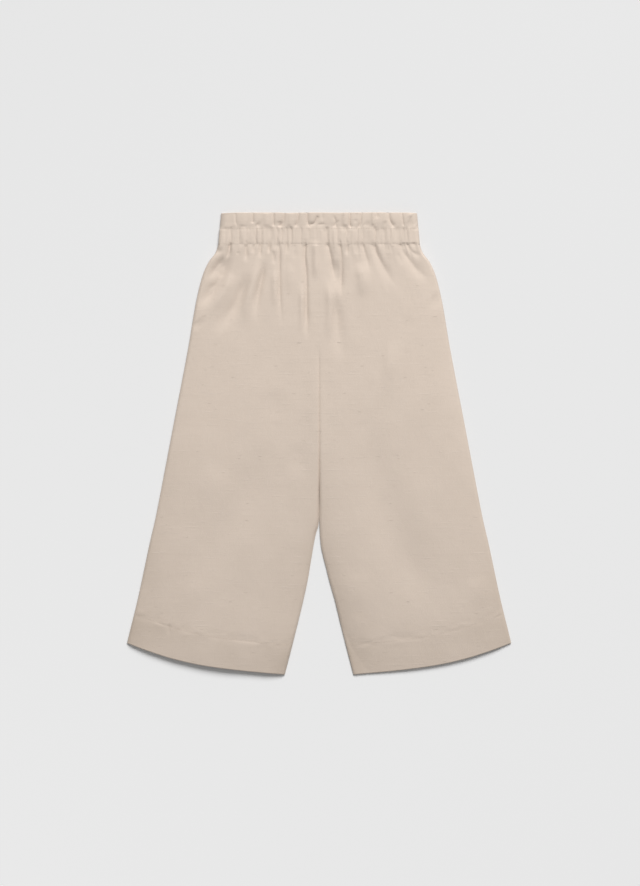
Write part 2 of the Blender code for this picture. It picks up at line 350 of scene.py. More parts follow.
WAIST_CREASES = (
    Crease(((-102.5, 0), (-103, 10), (-108, 18)), -1.7, 1.9, crisp=1.2, lean=0.3),
    Crease(((-119, 5), (-112, 12)), -1.2, 3.4, 1.2, 2.0, OPEN),
    Crease(((-107, 12), (-113, 20), (-119, 29), (-125, 36), (-132, 41)), -2.6, 3.8, 1.3, 1.7, OPEN),
    Crease(((-98, 6), (-102, 14), (-108, 26), (-117, 44), (-128, 61), (-140, 76)),
           -4.1, 5.2, 1.5, 1.7, OPEN, 0.35),
    Crease(((-111, 32), (-118, 42), (-126, 51)), 1.1, 4.0, 1.2, 2.0, OPEN),
    Crease(((-99, 30), (-105, 46), (-115, 66), (-125, 84)), 2.2, 5.0, 1.4, 1.8, OPEN),
    Crease(((-95.5, 10.8), (-90.5, 10.8)), -0.5, 1.2, 1.0, 1.4, OPEN),
    Crease(((-83.6, 0), (-83.6, 22)), -1.8, 1.7, 1.5, 1.3),
    Crease(((-80, 30), (-86, 46), (-94, 66), (-108, 88), (-121, 104)), -3.2, 5.8, 1.3, 2.0, OPEN),
    Crease(((-75.5, 0), (-76.5, 12)), -1.0, 1.7),
    Crease(((-67.5, 0), (-67.5, 18)), -1.5, 1.7, 1.4, 1.3),
    Crease(((-58, 0), (-57.5, 12)), -1.5, 1.7, 1.2, 1.3),
    Crease(((-52.5, 6), (-51.5, 26)), -1.5, 1.7, 1.4, 1.3, OPEN),
    Crease(((-62, 16), (-65, 34), (-68.5, 50), (-71.5, 68), (-73, 92)), -2.9, 3.0, 1.6, 1.6, OPEN),
    Crease(((-69, 14), (-75, 42), (-83, 68), (-86, 98)), 2.2, 4.8, 1.4, 1.9, OPEN),
    Crease(((-46, 0), (-45.5, 15), (-45.2, 55), (-43.8, 78), (-42.5, 98)),
           -2.0, 1.8, 1.5, 1.3, fade=0.45, lean=0.25),
    Crease(((-51, 26), (-51, 52), (-50, 78)), 1.7, 3.6, 1.2, 1.9, OPEN),
    Crease(((-36, 0), (-36.5, 14)), -0.9, 1.8),
    Crease(((-33, 20), (-34, 60)), 0.9, 5.0, 1.2, 2.0, OPEN),
    Crease(((-28, 2), (-28, 20)), -0.7, 2.4),
    Crease(((-15.5, 0), (-16.5, 14), (-15, 30), (-14.3, 73), (-13.4, 112)),
           -2.7, 2.2, 1.7, 1.4, fade=0.3, lean=0.3),
    Crease(((-19.8, 44), (-19.8, 106)), 1.7, 3.0, 1.0, 1.9, OPEN),
    Crease(((-4.2, -4), (-3.6, 44)), 1.7, 3.6, 1.0, 2.0, fade=0.4),
    Crease(((10.2, 0), (13.2, 15), (15.8, 30), (19.5, 48)), -2.2, 1.9, 1.5, 1.3),
    Crease(((23.5, 0), (25.5, 18), (25.4, 44), (24, 66)), -2.3, 1.8, 1.2, 1.2, fade=0.4, lean=-0.3),
    Crease(((18, 16), (21, 40), (22, 60)), -2.0, 4.8, 1.2, 2.0, OPEN),
    Crease(((18.5, 54), (19.5, 76), (22, 102), (27, 140)), -2.6, 6.5, 1.2, 1.9, OPEN, 0.6),
    Crease(((9, 36), (12, 62), (12.5, 90), (11, 116)), 2.2, 4.2, 1.2, 2.0, OPEN),
    Crease(((33, 0), (31.5, 14)), -1.5, 1.9, 1.2, 1.3),
    Crease(((42, 0), (43, 13)), -0.8, 1.9),
    Crease(((49.5, 0), (52, 8), (55.5, 20), (58.5, 34)), -1.4, 2.3, 1.7, 1.4, lean=0.2),
    Crease(((44, 20), (50, 44), (49, 64)), 2.0, 6.6, 1.3, 2.0, OPEN),
    Crease(((62, 0), (64, 7), (70.5, 20), (76.5, 31), (83, 43), (88, 53)),
           -2.2, 2.8, 2.5, 1.6, fade=0.5, lean=0.1),
    Crease(((78, 0), (80, 11)), -0.7, 1.9),
    Crease(((89, 8), (97.6, 27)), -0.6, 2.6, 1.2, 1.6, OPEN),
    Crease(((94.5, 0), (96, 8), (104, 19), (111.5, 29), (119, 36), (130, 41)),
           -2.1, 3.2, 2.1, 1.6, fade=0.45, lean=0.1),
    Crease(((102.5, 0), (105, 6.5), (110, 11.5), (119, 13)), -1.2, 2.4, 1.3, 1.5, lean=0.2),
    Crease(((127, 61), (137, 67), (143, 72)), -0.8, 10.0, 1.0, 2.0, OPEN),
    Crease(((-143, 88), (-136, 98)), -0.7, 8.0, 1.0, 2.0, OPEN),
)

LEG_CREASES = (
    Crease(((53, 176), (62, 235), (75, 300), (92, 346), (112, 380), (134, 405), (158, 430)),
           -2.7, 24.0, 1.1, 2.0, OPEN, 0.3),
    Crease(((-58, 222), (-74, 268), (-96, 310), (-126, 358), (-152, 398)), -1.9, 18.0, 1.2, 2.0, OPEN),
    Crease(((70, 138), (98, 142)), 1.5, 22.0, 1.0, 2.0, OPEN),
    Crease(((-24, 228), (-23, 268)), -0.6, 9.0, 1.2, 2.0, OPEN),
    Crease(((-54, 165), (-51, 206)), -0.6, 11.0, 1.2, 2.0, OPEN),
    Crease(((-150, 380), (-146, 430)), 0.6, 15.0, 1.0, 2.0, OPEN),
    Crease(((-112, 255), (-142, 300)), 0.7, 16.0, 1.0, 2.0, OPEN),
    Crease(((176, 380), (188, 420)), 0.7, 13.0, 1.0, 2.0, OPEN),
    Crease(((40, 372), (46, 428)), 0.9, 13.0, 1.2, 2.0, OPEN),
    Crease(((-172, 434), (-172, 452)), -0.8, 1.1, 1.0, 1.2, OPEN),
    Crease(((-2.4, 126), (-2.0, 288)), 0.3, 1.0, 1.0, 1.6, OPEN, 0.1),
    Crease(((-4, 118), (-4, 200), (-4, 300)), 1.1, 9.0, 1.3, 2.0, OPEN),
)

FRILL_CREASES = (
    Crease(((-106, -35), (-105, -18)), -0.9, 7.5, 1.0, 2.0, fade=0.5),
    Crease(((-96, -35), (-95.5, -26), (-93, -17.5)), -1.08, 1.5, 1.0, 1.3),
    Crease(((-86, -36), (-87, -18)), 0.65, 3.5, 1.0, 2.0, fade=0.3),
    Crease(((-76.3, -36), (-76.1, -23)), -1.89, 1.4, 1.2, 1.2, fade=0.2),
    Crease(((-72, -23.5), (-68, -20.5)), -1.14, 3.4, 1.0, 1.6, OPEN, 0.2),
    Crease(((-61, -35), (-60, -18)), 0.78, 4.0, 1.0, 2.0, fade=0.3),
    Crease(((-52.6, -36), (-52, -19)), -2.16, 1.3, 1.2, 1.2, fade=0.2),
    Crease(((-39.7, -36), (-41.7, -25), (-46.5, -18.5)), -2.16, 1.5, 1.4, 1.3, fade=0.2),
    Crease(((-45.5, -27), (-45, -19)), -1.08, 2.8, 1.2, 1.6, OPEN, 0.2),
    Crease(((-32.5, -35), (-34, -19)), 0.65, 3.0, 1.0, 2.0, fade=0.3),
    Crease(((-23.6, -36), (-24.6, -26), (-29, -17)), -2.43, 1.6, 1.2, 1.2, fade=0.3),
    Crease(((-13.9, -36), (-12.8, -24), (-8.5, -16.5)), -2.56, 1.6, 1.3, 1.2, fade=0.3),
    Crease(((-1.5, -31), (-6, -23.5), (-11.5, -22)), -2.16, 1.5, 1.2, 1.3, fade=0.2),
    Crease(((-3, -22), (9, -23)), -0.99, 1.4, 1.0, 1.3, OPEN),
    Crease(((3, -36), (4, -25)), -0.81, 1.8),
    Crease(((16.3, -34), (18.6, -24), (16, -18)), -1.35, 1.4, 1.0, 1.2, OPEN, 0.2),
    Crease(((23.5, -28), (19.4, -22.5), (20.6, -17)), -1.17, 1.3, 1.0, 1.2, OPEN, 0.2),
    Crease(((29.5, -36), (30, -18)), 1.04, 3.0, 1.0, 2.0, fade=0.3),
    Crease(((35.3, -36), (36.8, -19), (40, -16.5)), -2.29, 1.3, 1.0, 1.2, fade=0.3),
    Crease(((48.7, -36), (44.6, -19), (41, -16.5)), -2.16, 1.3, 1.0, 1.2, fade=0.3),
    Crease(((42, -29), (42, -23)), -0.63, 1.7, 1.0, 1.5, OPEN),
    Crease(((51, -24), (58, -20)), -0.78, 4.2, 1.0, 1.8, OPEN, 0.3),
    Crease(((62, -36), (62, -19)), 1.04, 2.2, 1.0, 2.0, fade=0.3),
    Crease(((65.8, -36), (66.8, -28)), -1.22, 1.6),
    Crease(((79.7, -36), (80.8, -28), (87.5, -17)), -2.43, 1.9, 1.3, 1.3, fade=0.3),
    Crease(((77, -27), (74, -18)), -0.81, 1.8, 1.0, 1.5, OPEN, 0.2),
    Crease(((94.8, -36), (97, -18)), -2.03, 1.4, 1.0, 1.2, fade=0.3),
    Crease(((101, -27), (111, -21)), -1.02, 5.0, 1.0, 1.8, OPEN, 0.2),
    Crease(((103, -35), (107, -31)), 0.78, 3.0, 1.0, 2.0, OPEN),
)


class Gather(NamedTuple):
    """One furrow or ridge down the elastic casing."""

    x: float
    height: float
    width: float


CASING_GATHERS = (
    Gather(-107.5, -0.5, 1.8), Gather(-101.4, -1.3, 1.4), Gather(-97.2, 0.5, 1.6), Gather(-91.5, -0.7, 1.6),
    Gather(-85.8, 0.5, 2.0), Gather(-79.5, -0.5, 1.7), Gather(-72.6, -1.2, 1.3), Gather(-69.6, 0.5, 1.3),
    Gather(-66.2, -0.6, 1.2), Gather(-63.3, 0.4, 1.4), Gather(-55.5, -0.6, 1.8), Gather(-48.1, -1.2, 1.4),
    Gather(-42.8, -1.1, 1.2), Gather(-37.2, -0.9, 1.2), Gather(-32.0, -1.0, 1.3), Gather(-26.6, 0.4, 1.5),
    Gather(-20.8, -0.8, 1.1), Gather(-12.0, -0.5, 1.6), Gather(-4.5, -0.3, 1.6), Gather(8.2, -1.2, 1.4),
    Gather(11.8, 0.5, 1.3), Gather(17.0, 0.5, 1.4), Gather(21.0, -0.7, 1.2), Gather(25.6, 0.5, 1.3),
    Gather(31.5, -0.8, 1.4), Gather(38.4, 0.5, 1.4), Gather(44.0, -0.9, 1.5), Gather(50.5, -0.9, 1.6),
    Gather(58.5, 0.5, 2.2), Gather(63.8, -1.1, 1.2), Gather(69.0, 0.4, 1.8), Gather(74.5, -0.5, 1.4),
    Gather(81.0, -0.8, 1.4), Gather(86.3, 0.4, 1.7), Gather(92.0, -0.5, 1.5), Gather(96.8, -0.9, 1.2),
    Gather(100.6, -1.2, 1.2), Gather(103.8, 0.5, 1.3), Gather(109.0, -0.5, 1.8),
)


FAN_PER_MM = 0.0032
PINCH_SHARE = 0.5
PINCH_DOWN = 0.05
GATHER_SHARE = 0.88
GATHER_CRISP = 1.5


def gathered_place(x: Array, down: Array) -> Array:
    """Where on the seam the thread through a place comes from: the gathers fan out below it."""
    return x / (1.0 + FAN_PER_MM * np.clip(down, 0.0, None))


def broad_gathers(x: Array, down: Array) -> Array:
    """The soft uneven pleats between the gathers, which run from the casing far down the front."""
    seam_x = gathered_place(x, down)
    return BROAD_PLEATS.at(seam_x, down) + NARROW_PLEATS.at(seam_x, down)


def seam_pinch(x: Array) -> Array:
    """How deep the front's creases are where they start, in the waist seam."""
    return PINCH_SHARE * total_relief(WAIST_CREASES, x, np.full_like(x, PINCH_DOWN))


def gather_relief(x: Array, up: Array) -> Array:
    """The elastic's gathers: they run down through the waist seam, and wander a little.

    Args:
        x: Places across.
        up: Heights above the seam, negative below it.

    Returns:
        The height at each place, before it is faded out.
    """
    wander = gathered_place(x, -up) + GATHER_WANDER.at(x, up)
    height = FINE_GATHERS.at(x, up)
    for gather in CASING_GATHERS:
        height += gather.height * bell(np.abs(wander - gather.x), gather.width, GATHER_CRISP)
    return GATHER_SHARE * height


class SeamDip(NamedTuple):
    """A stretch of the waist seam that the stitches pull in."""

    x: float
    half_length: float
    depth: float


SEAM_DIPS = (
    SeamDip(-100.5, 2.0, 1.0), SeamDip(-89.0, 2.5, 0.8), SeamDip(-79.5, 3.3, 1.2), SeamDip(-69.5, 4.3, 1.1),
    SeamDip(-61.0, 2.2, 0.9), SeamDip(-44.5, 3.8, 1.3), SeamDip(-25.5, 6.5, 0.9), SeamDip(-9.5, 1.5, 0.6),
    SeamDip(12.0, 1.6, 1.0), SeamDip(37.5, 2.7, 0.9), SeamDip(45.5, 4.3, 1.0), SeamDip(58.5, 4.3, 1.0),
    SeamDip(73.0, 6.5, 1.1), SeamDip(89.0, 6.0, 1.0), SeamDip(101.5, 4.3, 1.2),
)

# ------------------------------------------------------------------------------- the cut


class Laid(NamedTuple):
    """Points of a leg panel on the table, with their distances in from its two long edges."""

    x: Array
    down: Array
    row: Array
    from_inside: Array
    from_side: Array


@dataclass(frozen=True)
class Cut:
    """The laid outline that the front and back panels share, hung from the waist seam."""

    seam_y: float
    leg_length: float = 494.8
    hem_depth: float = 34.0
    sides: tuple[Pair, ...] = (
        (0, 115.7), (9, 118.7), (20.5, 127.0), (34, 133.2), (64, 140.9), (116, 149.8), (214, 168.5),
        (269, 179.0), (317, 188.4), (340, 193.8), (409, 208.6), (455, 219.9), (495, 229.0),
    )
    right_inside: tuple[Pair, ...] = (
        (0, 0.0), (266, 0.0), (290, 0.4), (312, 0.9), (322, 1.8), (333, 4.8), (345, 6.6), (359, 8.9),
        (375, 11.8), (386, 13.4), (409, 18.1), (455, 29.3), (495, 39.6),
    )
    left_inside: tuple[Pair, ...] = (
        (0, 0.0), (266, 0.0), (290, 0.2), (322, 0.4), (333, 0.9), (345, 1.9), (359, 4.7), (375, 8.8),
        (386, 11.5), (409, 17.9), (455, 29.3), (495, 39.6),
    )
    back_inside: tuple[Pair, ...] = (
        (0, 0.0), (314, 0.0), (323, 0.7), (333, 3.9), (345, 6.2), (359, 8.6), (386, 13.1), (409, 18.1),
        (455, 29.3), (495, 39.6),
    )
    hem: tuple[Pair, ...] = (
        (0, 494.8), (0.25, 490.5), (0.5, 484.5), (0.7, 476.6), (0.85, 468.3), (0.94, 462.6), (1, 458.6),
    )

    @property
    def hem_line(self) -> float:
        """The row that the hem is stitched along."""
        return self.leg_length - self.hem_depth

    def width(self, down: Array) -> Array:
        """The panel's laid width at a distance below the seam."""
        return through(down, self.sides) - through(down, self.right_inside)

    def inside(self, side: Side, front: bool) -> tuple[Pair, ...]:
        """The inner edge of a panel, as rows of (down, distance from the middle).

        Args:
            side: The wearer's side.
            front: Whether it is a front panel.

        Returns:
            The rows.
        """
        if not front:
            return self.back_inside
        return self.left_inside if side is Side.LEFT else self.right_inside

    def place(self, side: Side, across: Array, row: Array, front: bool = True) -> Laid:
        """Lays points of a panel on the table.

        Args:
            side: The wearer's side.
            across: Shares of the width, 0 at the inner edge and 1 at the side fold.
            row: Distances down the inner edge, which the hem's curve shortens towards the side.
            front: Whether it is a front panel. The back ones meet a little lower between the legs.

        Returns:
            The laid points.
        """
        short = through(across, self.hem) - self.leg_length
        down = row + short * np.clip(row / self.hem_line, 0.0, 1.0) ** 2
        outer = through(down, self.sides)
        inner = through(down, self.inside(side, front))
        reach = inner + across * (outer - inner)
        return Laid(side.value * reach, down, row, reach - inner, outer - reach)

    def y(self, down: Array) -> Array:
        """The frame's y, in millimetres, at a distance below the seam."""
        return self.seam_y - down


EDGE_STATIONS = (0.0, 0.12, 0.4, 0.8, 1.3, 1.9, 2.6, 3.4, 4.3)


def stations(width: Array, count: int) -> Array:
    """Shares of a width for the columns of a grid: close at both edges, even between.

    Args:
        width: The width of each row.
        count: How many even columns.

    Returns:
        A row of shares for each width.
    """
    edge = np.array(EDGE_STATIONS)[None, :] / width[:, None]
    start = 1.25 * edge[:, -1:]
    middle = start + (1.0 - 2.0 * start) * np.linspace(0.0, 1.0, count)[None, :]
    return np.concatenate([edge, middle, 1.0 - edge[:, ::-1]], axis=1)


# ------------------------------------------------------------------------------- sheets of cloth


@dataclass
class Skin:
    """A closed thin sheet between two faces that share one grid of rows and columns.

    Its third part is painted shade: how much darker the linen's colour is made along the legs' side folds,
    inner edges and hems.
    """

    outer: Array
    inner: Array
    tone: Optional[Array] = None

    def add_to(self, mesh: bmesh.types.BMesh, hollow: bool = False) -> None:
        """Adds the sheet, or the hollow inside one.

        Args:
            mesh: The mesh to add to.
            hollow: Whether the faces look into the space between the two, as in a casing.
        """
        layer = mesh.loops.layers.uv.get("weave") or mesh.loops.layers.uv.new("weave")
        # This layer carries the painted shade into the linen's colour.
        depth = mesh.verts.layers.float.get("tone") or mesh.verts.layers.float.new("tone")
        rows, columns = self.outer.shape[:2]
        flat = self._flat_places()
        faces = []
        grids = []
        for points in (self.outer, self.inner):
            made = [mesh.verts.new(point) for point in (points.reshape(-1, 3) * MM).tolist()]
            grids.append([made[i * columns : (i + 1) * columns] for i in range(rows)])
        top, under = grids
        place = {}
        tone = np.zeros((rows, columns)) if self.tone is None else self.tone
        for grid in grids:
            for i, line in enumerate(grid):
                for j, vert in enumerate(line):
                    place[vert] = flat[i][j]
                    vert[depth] = tone[i, j]
        for i in range(rows - 1):
            for j in range(columns - 1):
                corners = ((i, j), (i, j + 1), (i + 1, j + 1), (i + 1, j))
                faces.append(mesh.faces.new([top[a][b] for a, b in corners]))
                faces.append(mesh.faces.new([under[a][b] for a, b in reversed(corners)]))
        ring = [(0, j) for j in range(columns)] + [(i, columns - 1) for i in range(1, rows)]
        ring += [(rows - 1, j) for j in range(columns - 2, -1, -1)]
        ring += [(i, 0) for i in range(rows - 2, 0, -1)]
        for (a, b), (c, d) in zip(ring, ring[1:] + ring[:1]):
            faces.append(mesh.faces.new((top[a][b], under[a][b], under[c][d], top[c][d])))
        for face in faces:
            face.smooth = True
            for loop in face.loops:
                loop[layer].uv = place[loop.vert]
        bmesh.ops.recalc_face_normals(mesh, faces=faces)
        if hollow:
            bmesh.ops.reverse_faces(mesh, faces=faces)

    def _flat_places(self) -> list:
        """Places on the flat cloth in metres: arc length across and down the outer face.

        Returns:
            The places, row by row.
        """
        across = np.hypot(*np.diff(self.outer[:, :, (0, 2)], axis=1).transpose(2, 0, 1))
        along = np.hypot(*np.diff(self.outer[:, :, (1, 2)], axis=0).transpose(2, 0, 1))
        u = np.pad(np.cumsum(across, axis=1), ((0, 0), (1, 0)))
        v = np.pad(np.cumsum(along, axis=0), ((1, 0), (0, 0)))
        u = u - u[:, u.shape[1] // 2][:, None]
        return (np.stack([u, -v], axis=2) * MM).tolist()


def sheet_object(name: str, skins: Sequence[tuple[Skin, bool]],
                 finish: Material) -> Piece:
    """Writes sheets, and the hollows in them, as one piece.

    Args:
        name: The piece's name.
        skins: Each sheet, and whether it is a hollow.
        finish: The piece's material.

    Returns:
        The piece, at the origin.
    """
    mesh = bmesh.new()
    for skin, hollow in skins:
        skin.add_to(mesh, hollow)
    data = bpy.data.meshes.new(name)
    mesh.to_mesh(data)
    mesh.free()
    data.materials.append(finish)
    piece = bpy.data.objects.new(name, data)
    bpy.context.scene.collection.objects.link(piece)
    return piece


DIP_SOFTNESS = 1.1
DIP_SHARE = 0.25
LEAST_WALL = 0.02


def dip_depth(x: Array) -> Array:
    """How far the waist seam's stitches pull the cloth in.

    Args:
        x: Places along the seam.

    Returns:
        The depth at each place.
    """
    depth = np.zeros_like(x)
    for dip in SEAM_DIPS:
        start, end = (np.tanh((x - dip.x + s * dip.half_length) / DIP_SOFTNESS) for s in (1, -1))
        depth += 0.5 * dip.depth * (start - end)
    return DIP_SHARE * depth


@dataclass
class LegPanel:
    """What the four leg panels share: one grid of laid points, and the declared cut."""

    side: Side
    cut: Cut
    finish: Material
    layer: str = "front"
    wall: float = 0.8
    hem_wall: float = 1.6
    hem_change: float = 0.8
    parting: float = 1.3
    parting_gap: float = 0.1
    rim: float = 3.4
    hem_round: float = 1.0
    tube_span: Pair = (225.0, 325.0)
    fold_in: float = 0.55
    fold_reach: float = 4.0
    # Painted shade: darker along the side fold and the inner edge lower down the leg, and in the hem.
    edge_painted_shade: float = 0.62
    edge_shade_reach: float = 20.0
    edge_shade_span: Pair = (190.0, 420.0)
    hem_painted_shade: float = 0.22
    hem_shade_span: Pair = (-16.0, 12.0)
    hem_line_width: float = 0.9
    seat_groove: tuple[Pair, ...] = (
        (-2, 0.2), (40, 0.15), (56, 0.0), (118, 0.0), (136, 0.8), (180, 1.2), (240, 1.5), (300, 1.7),
    )
    groove_crisp: float = 1.4
    even_columns: int = 128
    row_spans: tuple[Span, ...] = (
        (-1.0, 4.0, 0.5), (4.0, 114.0, 0.85), (114.0, 150.0, 1.8), (150.0, 450.0, 3.6), (450.0, 470.0, 0.8),
        (470.0, 493.6, 1.3), (493.6, 494.8, 0.2),
    )
    flat: Pair = (0.2, 0.505)
    flat_area: float = 0.0865

    @property
    def name(self) -> str:
        """The piece's name."""
        return f"{self.layer}_leg_{self.side.name.lower()}"

    def grid(self) -> Laid:
        """The panel's laid grid: rows down the leg, columns from the inner edge to the side fold.

        Returns:
            The laid points.
        """
        rows = steps(*self.row_spans)
        across = stations(self.cut.width(np.clip(rows, 0.0, None)), self.even_columns)
        return self.lay(across, np.broadcast_to(rows[:, None], across.shape))

    def lay(self, across: Array, row: Array) -> Laid:
        """Lays points of this panel on the table."""
        return self.cut.place(self.side, across, row, self.layer == "front")

    def faces(self, at: Laid) -> Faces:
        """The heights of the panel's outer face and of its inner one."""
        raise NotImplementedError

    def opening(self, at: Laid) -> Array:
        """0 where the two legs are one seat, 1 where each is a tube of its own."""
        return ease(*self.tube_span, at.down)

    def rolled(self, at: Laid, rim: float, inset: float = 0.0) -> Array:
        """How the height falls at the edges, from 1 inside to 0: at the side, and where the leg is a tube.

        Args:
            at: The laid points.
            rim: How far in the roll reaches.
            inset: How far in it starts.

        Returns:
            The share of the height at each point.
        """
        tube = self.opening(at)
        return roll(at.from_side - inset, rim) * (1.0 - tube + tube * roll(at.from_inside - inset, rim))

    def groove(self, at: Laid, width: float) -> Array:
        """The depth of the centre seam's furrow, down the seat."""
        depth = through(at.down, self.seat_groove) * (1.0 - self.opening(at))
        return depth * bell(at.from_inside, width, self.groove_crisp)

    def round_hem(self, at: Laid, outer: Array, inner: Array) -> Faces:
        """Rounds the fold at the bottom of the hem."""
        return folded(outer, inner, self.cut.leg_length - at.row, self.hem_round)

    def tone(self, at: Laid) -> Array:
        """Painted shade: how much darker the colour is made along the side fold and the inner edge, lower
        down the leg, and in the hem.

        Args:
            at: The laid points.

        Returns:
            0 for no painted shade, and about 1 at the darkest.
        """
        lower = ease(*self.edge_shade_span, at.down)
        side = lower * np.exp(-at.from_side / self.edge_shade_reach)
        inside = lower * self.opening(at) * np.exp(-at.from_inside / self.edge_shade_reach)
        hem = ease(*self.hem_shade_span, at.row - self.cut.hem_line)
        cloudy = 1.0 + PAINTED_SHADE_CLOUDS.at(at.x, at.down)
        return self.edge_painted_shade * cloudy * (side + inside) + self.hem_painted_shade * hem * cloudy

    def thickness(self, at: Laid) -> Array:
        """The cloth's thickness: doubled below the hem's stitches."""
        doubled = ease(self.cut.hem_line - self.hem_change, self.cut.hem_line + self.hem_change, at.row)
        return self.wall + (self.hem_wall - self.wall) * doubled

    def build(self, rests_on: Sequence[str], stitches: Sequence[Piece]) -> Piece:
        """Makes the panel, and hides the frame's part that it stands in for.

        Args:
            rests_on: What it lies on; not used.
            stitches: The stitches in it; not used.

        Returns:
            The piece.
        """
        at = self.grid()
        outer, inner = self.faces(at)
        turned_in = self.fold_in * (1.0 - ease(0.0, self.fold_reach, at.from_side))
        turned_in -= self.fold_in * (1.0 - ease(0.0, self.fold_reach, at.from_inside)) * self.opening(at)
        y = self.cut.y(at.down)
        under = np.stack([at.x - turned_in * self.side.value, y, inner], axis=2)
        skin = Skin(np.stack([at.x, y, outer], axis=2), under, self.tone(at))
        piece = sheet_object(self.name + "_cloth", [(skin, False)], self.finish)
        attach(piece, BODY)
        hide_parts(self.name)
        LOG.info("%s: %d faces", piece.name, len(piece.data.polygons))
        return piece


@dataclass
class FrontLeg(LegPanel):
    """A front panel: gathered into the waist seam, creased below it, smooth down the leg."""

    crown: tuple[Pair, ...] = (
        (-2, 7.3), (0, 7.6), (1.5, 7.7), (6, 7.7), (15, 7.4), (30, 7.0), (50, 6.8), (100, 6.4), (220, 6.0),
        (370, 6.0), (430, 6.3), (465, 5.8), (495, 4.6),
    )
    least_height: float = 1.2
    pinch_reach: float = 3.4
    dip_reach: float = 2.2
    gather_reach: float = 11.0
    pleat_reach: float = 42.0
    loose_reach: float = 9.0
    hem_lift: Pair = (0.2, 1.5)
    hem_lift_span: Pair = (20.0, 130.0)
    hem_rise_span: Pair = (400.0, 480.0)
    hem_drop: float = 1.1
    hem_pull_span: Pair = (-0.35, 0.75)
    hem_line_depth: float = 0.16
    hem_ridge: float = 0.19
    hem_ridge_span: Pair = (3.0, 13.0)
    pucker_slant: float = 0.4
    pucker_above: float = 1.5
    pucker_reach: float = 6.0
    soft_side: tuple[Pair, ...] = ((0, 1.7), (8, 2.0), (40, 3.4))
    soft_side_reach: float = 13.0
    groove_width: float = 1.5
    inset: float = 0.5

    def relief(self, at: Laid) -> Array:
        """The creases, the waist seam's pull, the hem and the cloth's own unevenness.

        Args:
            at: The laid points.

        Returns:
            The height over the panel's crown.
        """
        x, down = at.x, at.down
        below_seam = np.clip(down, 0.0, None)
        at_seam = PINCH_SHARE + (1.0 - PINCH_SHARE) * ease(0.0, self.pinch_reach, below_seam)
        height = total_relief(WAIST_CREASES, x, down) * at_seam + total_relief(LEG_CREASES, x, down)
        height -= dip_depth(x) * bell(below_seam, self.dip_reach)
        height += gather_relief(x, -down) * bell(below_seam, self.gather_reach, GATHER_CRISP)
        height += np.exp(-below_seam / self.pleat_reach) * broad_gathers(x, down)
        height += ease(0.0, self.loose_reach, below_seam) * (LEG_SWELL.at(x, down) + LEG_RIPPLE.at(x, down))
        return height + LEG_GRAIN.at(x, down) + self.hem(at)

    def hem_rise(self, at: Laid) -> Array:
        """How far the hem stands off the surface: the right leg's rises inwards, the left one's lies low.

        Args:
            at: The laid points.

        Returns:
            The height to add at each point.
        """
        if self.side is Side.LEFT:
            return np.full_like(at.x, -self.hem_drop)
        low, high = self.hem_lift
        return low + (high - low) * ease(*self.hem_lift_span, at.from_side)

    def hem(self, at: Laid) -> Array:
        """The turned-up hem: a pressed line at its stitches, a soft ridge below it, small puckers.

        Args:
            at: The laid points.

        Returns:
            The height over the smooth leg.
        """
        below = at.row - self.cut.hem_line
        top, foot = self.hem_ridge_span
        pull = ease(*self.hem_pull_span, HEM_PULL.at(at.x, at.down))
        line = -self.hem_line_depth * pull * bell(below, self.hem_line_width)
        ridge = self.hem_ridge * pull * ease(0.0, top, below) * (1.0 - ease(top, foot, below))
        uneven = HEM_PUCKER.at(at.x + self.pucker_slant * at.down, at.down) + HEM_RIPPLE.at(at.x, at.down)
        return line + ridge + uneven * bell(below + self.pucker_above, self.pucker_reach)

    def faces(self, at: Laid) -> Faces:
        """The heights of the panel's two faces.

        Args:
            at: The laid points.

        Returns:
            The outer face's heights and the inner face's.
        """
        tall = through(at.down, self.crown) + self.relief(at)
        tall += self.hem_rise(at) * ease(*self.hem_rise_span, at.down)
        soft = through(at.down, self.soft_side)
        tall -= soft * np.exp(-at.from_side / self.soft_side_reach)
        tall -= soft * self.opening(at) * np.exp(-at.from_inside / self.soft_side_reach)
        tall = np.maximum(tall, self.parting + self.least_height) - self.groove(at, self.groove_width)
        level = self.parting - self.parting_gap
        outer = level + (tall - level) * self.rolled(at, self.rim)
        inner = level + (tall - self.thickness(at) - level) * self.rolled(at, self.rim, self.inset)
        return self.round_hem(at, outer, np.minimum(inner, outer - LEAST_WALL))


